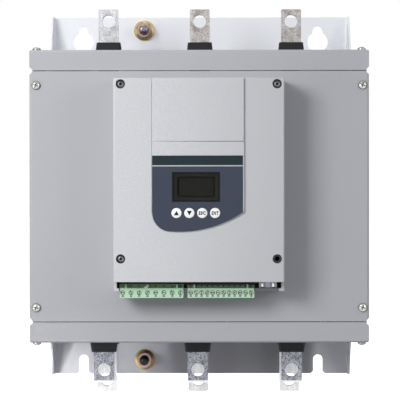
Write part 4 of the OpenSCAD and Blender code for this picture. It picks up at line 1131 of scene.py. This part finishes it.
@dataclass
class Terminals:
    """The headers, plugs, clamping screws and the serial socket."""

    block_bevel: float = 0.1
    mouth: Triple = (63.8, 233.5, -84.6)
    contacts: int = 8
    contact_pitch: float = 1.02
    contact_half: float = 0.2
    contact_deep: Pair = (0.0, 1.6)
    contact_rise: Pair = (2.0, 11.5)
    shield: Triple = (63.8, 246.0, -84.6)
    hook_reach: float = 7.75
    hook_half: float = 0.4
    hook_deep: Pair = (0.0, 0.35)
    hook_rises: tuple[Pair, ...] = ((0.8, 2.8), (3.4, 5.4))
    spring_reach: float = 5.08
    spring_half: float = 1.0
    spring_edge: float = 0.3
    spring_round: float = 0.2
    spring_profile: tuple[Pair, ...] = (
        (0.0, 0.0), (0.9, 0.35), (1.1, 1.2), (1.2, 3.0), (1.1, 4.8), (0.9, 5.7), (0.0, 6.1)
    )
    slot_reach: float = 2.35
    slot_half: float = 0.25
    slot_deep: Pair = (-0.2, 0.06)
    slot_rise: Pair = (0.2, 6.4)
    tab: Triple = (-48.6, 247.0, -84.6)
    tab_blocks: tuple[tuple[Pair, Pair, Pair], ...] = (
        ((-2.3, -0.4), (0.0, 2.2), (0.0, 1.0)),
        ((-0.9, 1.5), (0.0, 2.6), (0.0, 2.0)),
        ((0.2, 2.1), (0.0, 2.6), (1.2, 3.0)),
    )
    plug_front: float = 250.0
    screw_z: float = -89.08
    screw_face: float = 248.9
    well_radius: float = 2.05
    well_throat: float = 1.5
    well_sink: float = 0.04
    well_flare: Pair = (0.15, 0.35)
    well_floor: float = 0.05
    well_steps: int = 24
    mark_half: float = 1.05
    mark_deep: Pair = (-0.2, 0.03)
    mark_drop: Pair = (-3.575, -2.525)
    mark_lean: float = 0.12
    mark_wave: float = 2.4
    rows: dict[str, tuple[float, float, int]] = field(
        default_factory=lambda: {"relay_plug": (-70.6, 7.62, 8), "signal_plug": (-7.7, 5.08, 12)}
    )

    def dress(self, dresser: Dresser) -> None:
        """Finishes the terminals.

        Args:
            dresser: gives nodes their finishes.
        """
        dresser.dress(HEADER_GREEN, "relay_header", "signal_header")
        dresser.dress(PLUG_GREEN, "relay_plug", "signal_plug", edge=0.2)
        dresser.dress(CLAMP_STEEL, "relay_plug_screws", "signal_plug_screws")
        dresser.dress(SHIELD_STEEL, "serial_socket", edge=0.15)

    def build(self) -> None:
        """Adds the socket's contacts and springs, the white tab, and the plugs' funnels and marks."""
        self._contacts()
        self._springs()
        self._slots()
        self._blocks("header_tab", TAB_WHITE, "chassis", "key_white", self.tab, self.tab_blocks)
        for plug, (first, pitch, ways) in self.rows.items():
            places = [first + index * pitch for index in range(ways)]
            self._wells(plug, places)
            self._marks(plug, places)

    def _blocks(
        self,
        name: str,
        finish: Finish,
        body: str,
        slot: str,
        anchor: Triple,
        blocks: Iterable[tuple[Pair, Pair, Pair]],
    ) -> None:
        """Makes a piece of small blocks with rounded edges.

        Args:
            name: the piece's name.
            finish: its finish.
            body: the body that carries it.
            slot: the record's material slot.
            anchor: x, distance in front of the wall, and z of the point that the blocks are measured from.
            blocks: left and right, back and front, and bottom and top of each, in millimetres.
        """
        shape = bmesh.new()
        x, ahead, z = anchor
        for (left, right), (back, front), (bottom, top) in blocks:
            low = Vector((x + left, -ahead - front, z + bottom))
            high = Vector((x + right, -ahead - back, z + top))
            MeshKit.box(shape, low * MM, high * MM, self.block_bevel * MM)
        MeshKit.piece(name, shape, finish, body, slot)

    def _wells(self, plug: str, places: Sequence[float]) -> None:
        """Adds the funnels around a plug's screws, dark grey as painted shade.

        Args:
            plug: the plug's body.
            places: where its screws are, from left to right, in millimetres.
        """
        floor = self.screw_face + self.well_floor
        profile = [
            (self.well_radius, self.plug_front - self.well_sink),
            (self.well_throat + self.well_flare[0], self.screw_face + self.well_flare[1]),
            (self.well_throat, floor),
            (self.well_radius, floor),
        ]
        angles = turns(self.well_steps)
        shape = bmesh.new()
        for x in places:
            place = (x, self.screw_z)
            rings = [[around(place, radius, angle, depth) for radius, depth in profile] for angle in angles]
            MeshKit.skin(shape, rings, looped=True)
        MeshKit.piece(f"{plug}_wells", shape, WELL_SHADE, plug, "plug_green", smooth=True)

    def _marks(self, plug: str, places: Sequence[float]) -> None:
        """Adds the dark marks below a plug's screws.

        Args:
            plug: the plug's body.
            places: where its screws are, from left to right, in millimetres.
        """
        blocks = []
        for index, x in enumerate(places):
            lean = self.mark_lean * math.sin(self.mark_wave * index)
            blocks.append((span(x + lean, self.mark_half), self.mark_deep, self.mark_drop))
        anchor = (0.0, self.plug_front, self.screw_z)
        self._blocks(f"{plug}_marks", MARK_GREEN, plug, "plug_green", anchor, blocks)

    def _contacts(self) -> None:
        """Adds the gold contacts in the socket's mouth and the hooks beside it."""
        first = -self.contact_pitch * (self.contacts - 1) / 2
        blocks = []
        for index in range(self.contacts):
            across = span(first + index * self.contact_pitch, self.contact_half)
            blocks.append((across, self.contact_deep, self.contact_rise))
        self._blocks("socket_contacts", CONTACT_GOLD, "chassis", "brass_hex", self.mouth, blocks)
        blocks = [
            (span(side * self.hook_reach, self.hook_half), self.hook_deep, rise)
            for side in SIDES
            for rise in self.hook_rises
        ]
        self._blocks("socket_hooks", HOOK_BRASS, "chassis", "brass_hex", self.shield, blocks)

    def _springs(self) -> None:
        """Adds the two bowed springs on the socket's front."""
        half, near = self.spring_half, self.spring_half - self.spring_edge
        edges = ((-half, self.spring_round), (-near, 0.0), (near, 0.0), (half, self.spring_round))
        x, front, low = self.shield
        shape = bmesh.new()
        for side in SIDES:
            rings = []
            for offset, sink in edges:
                across = x + side * self.spring_reach + offset
                points = [(-front - max(0.0, out - sink), low + up) for out, up in self.spring_profile]
                rings.append([Vector((across, y, z)) * MM for y, z in points])
            MeshKit.skin(shape, rings)
        MeshKit.piece("socket_springs", shape, SPRING_STEEL, "chassis", "nickel_screw", smooth=True)

    def _slots(self) -> None:
        """Adds dark blocks beside the springs: painted shade where the shield is cut."""
        middles = [side * self.spring_reach + hand * self.slot_reach for side in SIDES for hand in SIDES]
        blocks = [(span(middle, self.slot_half), self.slot_deep, self.slot_rise) for middle in middles]
        self._blocks("socket_slots", SLOT_SHADE, "chassis", "display_black", self.shield, blocks)


class Legend(Enum):
    """What the four keys say, in order from the left."""

    UP = "key_up"
    DOWN = "key_down"
    ESCAPE = "key_escape"
    ENTER = "key_enter"


@dataclass
class ControlUnit:
    """The housing with its boards, and the keypad column on its front."""

    left: float = -43.0
    front: float = 263.0
    tilt: float = math.radians(1.15)
    film_front: float = 0.7
    key_proud: float = 0.6
    key_first: float = 22.5
    key_pitch: float = 11.8
    key_height: float = -15.2
    arrow_width: float = 4.6
    arrow_height: float = 4.2
    word_box: Pair = (6.4, 3.4)
    word_stroke: float = 0.055
    word_spacing: float = 1.22
    word_curve: int = 3
    word_merge: float = 0.001
    words: dict[Legend, str] = field(default_factory=lambda: {Legend.ESCAPE: "ESC", Legend.ENTER: "ENT"})
    legend_cuts: int = 2
    legend_lift: float = 0.03
    legend_depth: float = 0.06
    dome_radius: float = 17.67
    display_middle: Pair = (40.45, 8.75)
    display_front: float = -3.1
    frame_bevel: float = 0.1
    surround: tuple[Pair, Pair, Pair] = ((34.8, 18.7), (41.3, 24.7), (-1.6, -0.95))
    # The near-black frame behind the display's gap is painted shade.
    gasket: tuple[Pair, Pair, Pair] = ((30.9, 16.2), (40.0, 23.5), (-4.6, -3.6))
    digit: Pair = (5.6, 10.0)
    digits: int = 4
    digit_gap: float = 1.6
    segment_width: float = 0.9
    segment_depth: float = 0.08

    def dress(self, dresser: Dresser) -> None:
        """Finishes the control unit.

        Args:
            dresser: gives nodes their finishes.
        """
        dresser.dress(UNIT_GREY, "control_housing", edge=0.4)
        dresser.dress(UNIT_GREY, "option_cover", "hmi_bezel", edge=0.3)
        dresser.dress(BOARD_GREEN, "control_board", "keypad_board")
        dresser.dress(CONTROL_SCREW_STEEL, "control_screws")
        dresser.dress(FILM_BLUE, "keypad_film")
        dresser.dress(STRIP_GREEN, "name_strip")
        dresser.dress(WINDOW_SMOKE, "display_window")
        dresser.dress(DISPLAY_BLACK, "display_module")
        dresser.dress(KEY_WHITE, *(legend.value for legend in Legend), edge=0.2)

    def pad(self) -> Matrix:
        """Gives the way from the column's own millimetres to the frame.

        In the column, x runs right from its left edge, y runs forward and z up.

        Returns:
            The matrix.
        """
        flip = Matrix.Diagonal((1.0, -1.0, 1.0, 1.0))
        turn = Matrix.Rotation(-self.tilt, 4, "Z")
        shift = Matrix.Translation((self.left * MM, -self.front * MM, 0.0))
        return shift @ turn @ flip @ Matrix.Diagonal((MM, MM, MM, 1.0))

    def build(self) -> None:
        """Adds the legends on the keys, the display's surround and its unlit segments."""
        for index, legend in enumerate(Legend):
            self._legend(index, legend)
        self._frame("display_surround", SURROUND_BLACK, *self.surround)
        self._frame("display_gasket", GAP_SHADE_BLACK, *self.gasket)
        self._segments()

    def _legend(self, index: int, legend: Legend) -> None:
        """Prints one legend on its key.

        Args:
            index: the key's place from the left.
            legend: which key it is.
        """
        shape = bmesh.new()
        if legend in self.words:
            self._word(shape, self.words[legend])
        else:
            self._arrow(shape, 1.0 if legend is Legend.UP else -1.0)
        bmesh.ops.triangulate(shape, faces=shape.faces)
        bmesh.ops.subdivide_edges(shape, edges=shape.edges, cuts=self.legend_cuts, use_grid_fill=True)
        bmesh.ops.triangulate(shape, faces=shape.faces)
        self._drape(shape)
        grown = bmesh.ops.extrude_face_region(shape, geom=list(shape.faces))
        sunk = [item for item in grown["geom"] if isinstance(item, bmesh.types.BMVert)]
        bmesh.ops.translate(shape, verts=sunk, vec=(0.0, -self.legend_depth, 0.0))
        middle = Matrix.Translation((self.key_first + index * self.key_pitch, 0.0, self.key_height))
        bmesh.ops.transform(shape, matrix=self.pad() @ middle, verts=shape.verts)
        MeshKit.piece(f"legend_{legend.value}", shape, LEGEND_INK, legend.value, "film_blue")

    def _drape(self, shape: Shape) -> None:
        """Lays a flat shape on a key's domed face.

        Args:
            shape: the mesh, in the key's own millimetres.
        """
        dome = self.dome_radius
        top = self.film_front + self.key_proud + self.legend_lift
        for vertex in shape.verts:
            reach = math.hypot(vertex.co.x, vertex.co.z)
            vertex.co.y = top - dome + math.sqrt(dome * dome - reach * reach)

    def _arrow(self, shape: Shape, side: float) -> None:
        """Adds a solid triangle.

        Args:
            shape: the mesh that grows.
            side: 1 points up and -1 points down.
        """
        half, high = self.arrow_width / 2, self.arrow_height / 2
        corners = [(-half, -high * side), (half, -high * side), (0.0, high * side)]
        shape.faces.new([shape.verts.new((x, 0.0, z)) for x, z in corners])

    def _word(self, shape: Shape, text: str) -> None:
        """Adds a short word as flat letters, centred on the key.

        Args:
            shape: the mesh that grows.
            text: the word.
        """
        curve = bpy.data.curves.new("word", "FONT")
        curve.body = text
        curve.size = 1.0
        curve.offset = self.word_stroke
        curve.space_character = self.word_spacing
        curve.align_x = "CENTER"
        curve.align_y = "CENTER"
        curve.resolution_u = self.word_curve
        holder = placed("word", curve)
        graph = bpy.context.evaluated_depsgraph_get()
        mesh = bpy.data.meshes.new_from_object(holder.evaluated_get(graph))
        shape.from_mesh(mesh)
        bpy.data.objects.remove(holder)
        bpy.data.curves.remove(curve)
        bpy.data.meshes.remove(mesh)
        bmesh.ops.remove_doubles(shape, verts=shape.verts, dist=self.word_merge)
        across = [vertex.co.x for vertex in shape.verts]
        up = [vertex.co.y for vertex in shape.verts]
        wide = self.word_box[0] / (max(across) - min(across))
        high = self.word_box[1] / (max(up) - min(up))
        middle = ((max(across) + min(across)) / 2, (max(up) + min(up)) / 2)
        for vertex in shape.verts:
            vertex.co = Vector(((vertex.co.x - middle[0]) * wide, 0.0, (vertex.co.y - middle[1]) * high))

    def _frame(self, name: str, finish: Finish, hole: Pair, size: Pair, depth: Pair) -> None:
        """Makes a flat frame around the display's middle.

        Args:
            name: the piece's name.
            finish: its finish.
            hole: width and height of its opening in millimetres.
            size: its own width and height.
            depth: its back and front in the column.
        """
        shape = bmesh.new()
        x, z = self.display_middle
        inner = (hole[0] / 2, hole[1] / 2)
        outer = (size[0] / 2, size[1] / 2)
        back, front = depth
        for side in SIDES:
            left, right = sorted((x + side * inner[0], x + side * outer[0]))
            bottom, top = span(z, outer[1])
            MeshKit.box(shape, (left, back, bottom), (right, front, top), self.frame_bevel)
            left, right = span(x, inner[0])
            bottom, top = sorted((z + side * inner[1], z + side * outer[1]))
            MeshKit.box(shape, (left, back, bottom), (right, front, top), self.frame_bevel)
        bmesh.ops.transform(shape, matrix=self.pad(), verts=shape.verts)
        MeshKit.piece(name, shape, finish, "chassis", "display_black")

    def _segments(self) -> None:
        """Adds the unlit seven-segment digits on the display's face."""
        wide, high = self.digit
        flat, tall = wide - self.segment_width, high / 2 - self.segment_width
        pitch = wide + self.digit_gap
        start = self.display_middle[0] - pitch * (self.digits - 1) / 2
        shape = bmesh.new()
        for index in range(self.digits):
            x, z = start + index * pitch, self.display_middle[1]
            for level in (-high / 2, 0.0, high / 2):
                self._segment(shape, (x, z + level), flat, False)
            for column in (-wide / 2, wide / 2):
                for level in (-high / 4, high / 4):
                    self._segment(shape, (x + column, z + level), tall, True)
        bmesh.ops.transform(shape, matrix=self.pad(), verts=shape.verts)
        MeshKit.piece("display_segments", shape, SEGMENT_GREY, "chassis", "display_black")

    def _segment(self, shape: Shape, middle: Pair, length: float, upright: bool) -> None:
        """Adds one segment with pointed ends.

        Args:
            shape: the mesh that grows.
            middle: its middle in the column, in millimetres.
            length: its length.
            upright: whether it stands up.
        """
        half, side = length / 2, self.segment_width / 2
        near = half - side
        outline = [(-half, 0.0), (-near, -side), (near, -side), (half, 0.0), (near, side), (-near, side)]
        rings = []
        for depth in (self.display_front, self.display_front + self.segment_depth):
            ring = []
            for along, across in outline:
                x, z = (across, along) if upright else (along, across)
                ring.append(Vector((middle[0] + x, depth, middle[1] + z)))
            rings.append(ring)
        MeshKit.skin(shape, rings)


@dataclass
class Softbox:
    """One area lamp of the studio."""

    name: str
    place: Triple
    aim: Triple
    size: Pair
    watts: float
    colour: Colour = WHITE
    spread: float = math.pi

    def build(self) -> None:
        """Puts the lamp in the scene."""
        data = bpy.data.lights.new(self.name, "AREA")
        data.shape = "RECTANGLE"
        data.size, data.size_y = self.size
        data.energy = self.watts
        data.color = self.colour
        data.spread = self.spread
        lamp = placed(self.name, data)
        lamp.location = self.place
        lamp.rotation_euler = (Vector(self.aim) - Vector(self.place)).to_track_quat("-Z", "Y").to_euler()


@dataclass
class Studio:
    """Floor, lamps, white surroundings and the camera."""

    floor_height: float = -0.26
    floor_size: float = 30.0
    floor_bounce: Colour = (0.22, 0.22, 0.23)
    floor_lift: Colour = (0.72, 0.72, 0.72)
    floor_clouds: Grain = Grain(3.0)
    floor_tones: tuple[Colour, Colour] = ((0.86, 0.86, 0.86), (0.9, 0.9, 0.9))
    ambient: float = 0.37
    camera_place: Triple = (0.01163, -1.84098, 0.0059)
    yaw: float = math.radians(0.3837)
    pitch: float = math.radians(-0.3324)
    roll: float = math.radians(-0.0659)
    focal_pixels: float = 1721.08
    image_pixels: float = 400.0
    sensor: float = 36.0
    clip: Pair = (0.05, 100.0)
    low_spread: float = math.radians(14)
    lamps: tuple[Softbox, ...] = (
        Softbox("key", (-0.68, -1.24, 0.40), (0.08, -0.20, -0.62), (0.48, 0.50), 11.2),
        Softbox("fill", (1.00, -1.05, 0.36), (0.10, -0.10, -0.10), (0.40, 0.40), 2.6, (0.94, 0.97, 1.0)),
        Softbox("side", (-0.80, -0.86, -0.16), (-0.06, -0.2, -0.12), (0.35, 0.35), 1.35),
        Softbox(
            "low left", (-0.56, -0.66, -0.20), (-0.10, 0.0, -0.176), (0.20, 0.04), 0.027, spread=low_spread
        ),
        Softbox("top", (-0.2, 0.05, 1.5), (0.0, -0.02, 0.0), (1.0, 0.6), 4.0),
        Softbox("back", (0.75, 1.20, 0.45), (0.0, 0.0, 0.0), (0.9, 0.7), 8.0),
    )

    def build(self) -> None:
        """Builds the whole studio."""
        self._world()
        self._floor()
        for lamp in self.lamps:
            lamp.build()
        self._camera()
        bpy.context.scene.view_settings.view_transform = "Standard"

    @staticmethod
    def _looked_at(tree: ShaderTree) -> Socket:
        """Returns a mask of what the camera sees directly, in metal or through glass.

        Args:
            tree: the tree that gets the nodes.

        Returns:
            1 for what is looked at and 0 for light.
        """
        kinds = ("Camera", "Glossy", "Transmission")
        rays = [tree.node("ShaderNodeLightPath", output=f"Is {kind} Ray") for kind in kinds]
        return reduce(Socket.most, rays)

    def _world(self) -> None:
        """Makes the surroundings: white to the eye, softer as light."""
        world = bpy.data.worlds.new("studio")
        bpy.context.scene.world = world
        tree = ShaderTree("studio", world)
        light = tree.node("ShaderNodeBackground", None, {"Color": WHITE, "Strength": self.ambient})
        seen = tree.node("ShaderNodeBackground", None, {"Color": WHITE, "Strength": 1.0})
        mixed = tree.node("ShaderNodeMixShader", None, {0: self._looked_at(tree), 1: light, 2: seen})
        tree.close(mixed, "ShaderNodeOutputWorld")

    def _floor(self) -> None:
        """Lays the pale floor below the part: white to the eye, and clear from below."""
        shape = bmesh.new()
        half = self.floor_size / 2
        corners = [(-half, -half), (half, -half), (half, half), (-half, half)]
        shape.faces.new([shape.verts.new((x, y, self.floor_height)) for x, y in corners])
        mesh = bpy.data.meshes.new("floor")
        shape.to_mesh(mesh)
        shape.free()
        floor = placed("floor", mesh)
        tree = ShaderTree("pale floor")
        seen = self._looked_at(tree)
        pale = tree.mix(self.floor_clouds.value(tree), *self.floor_tones)
        ground = tree.mix(seen, self.floor_bounce, pale)
        shadowed = tree.node("ShaderNodeBsdfDiffuse", None, {"Color": ground})
        lift = tree.mix(seen, BLACK, self.floor_lift)
        white = tree.node("ShaderNodeEmission", None, {"Color": lift, "Strength": 1.0})
        solid = tree.node("ShaderNodeAddShader", None, {0: shadowed, 1: white})
        below = tree.node("ShaderNodeNewGeometry", output="Backfacing")
        clear = tree.node("ShaderNodeBsdfTransparent", None, {"Color": WHITE})
        tree.close(tree.node("ShaderNodeMixShader", None, {0: below * seen, 1: solid, 2: clear}))
        mesh.materials.append(tree.owner)

    def _camera(self) -> None:
        """Sets the camera at the photograph's angle."""
        data = bpy.data.cameras.new("camera")
        data.sensor_width = self.sensor
        data.lens = self.focal_pixels / self.image_pixels * self.sensor
        data.clip_start, data.clip_end = self.clip
        camera = placed("camera", data)
        turn = Matrix.Rotation(self.yaw, 3, "Z") @ Matrix.Rotation(self.pitch, 3, "X")
        turn = turn @ Matrix.Rotation(-self.roll, 3, "Y")
        right, forward, up = turn.col[0], turn.col[1], turn.col[2]
        stand = Matrix((right, up, -forward)).transposed().to_4x4()
        camera.matrix_world = Matrix.Translation(self.camera_place) @ stand
        bpy.context.scene.camera = camera


def main() -> None:
    """Builds the part's dress and the studio, in order."""
    logging.basicConfig(level=logging.INFO, format="%(name)s: %(message)s")
    for start in list(bpy.data.objects):
        bpy.data.objects.remove(start)
    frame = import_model()
    Studio().build()
    dresser = Dresser(frame["nodes"])
    case, power, terminals, unit = Case(), PowerStage(), Terminals(), ControlUnit()
    for assembly in (case, power, terminals, unit):
        assembly.dress(dresser)
    for assembly in (case, terminals, unit):
        assembly.build()


if __name__ == "__main__":
    main()
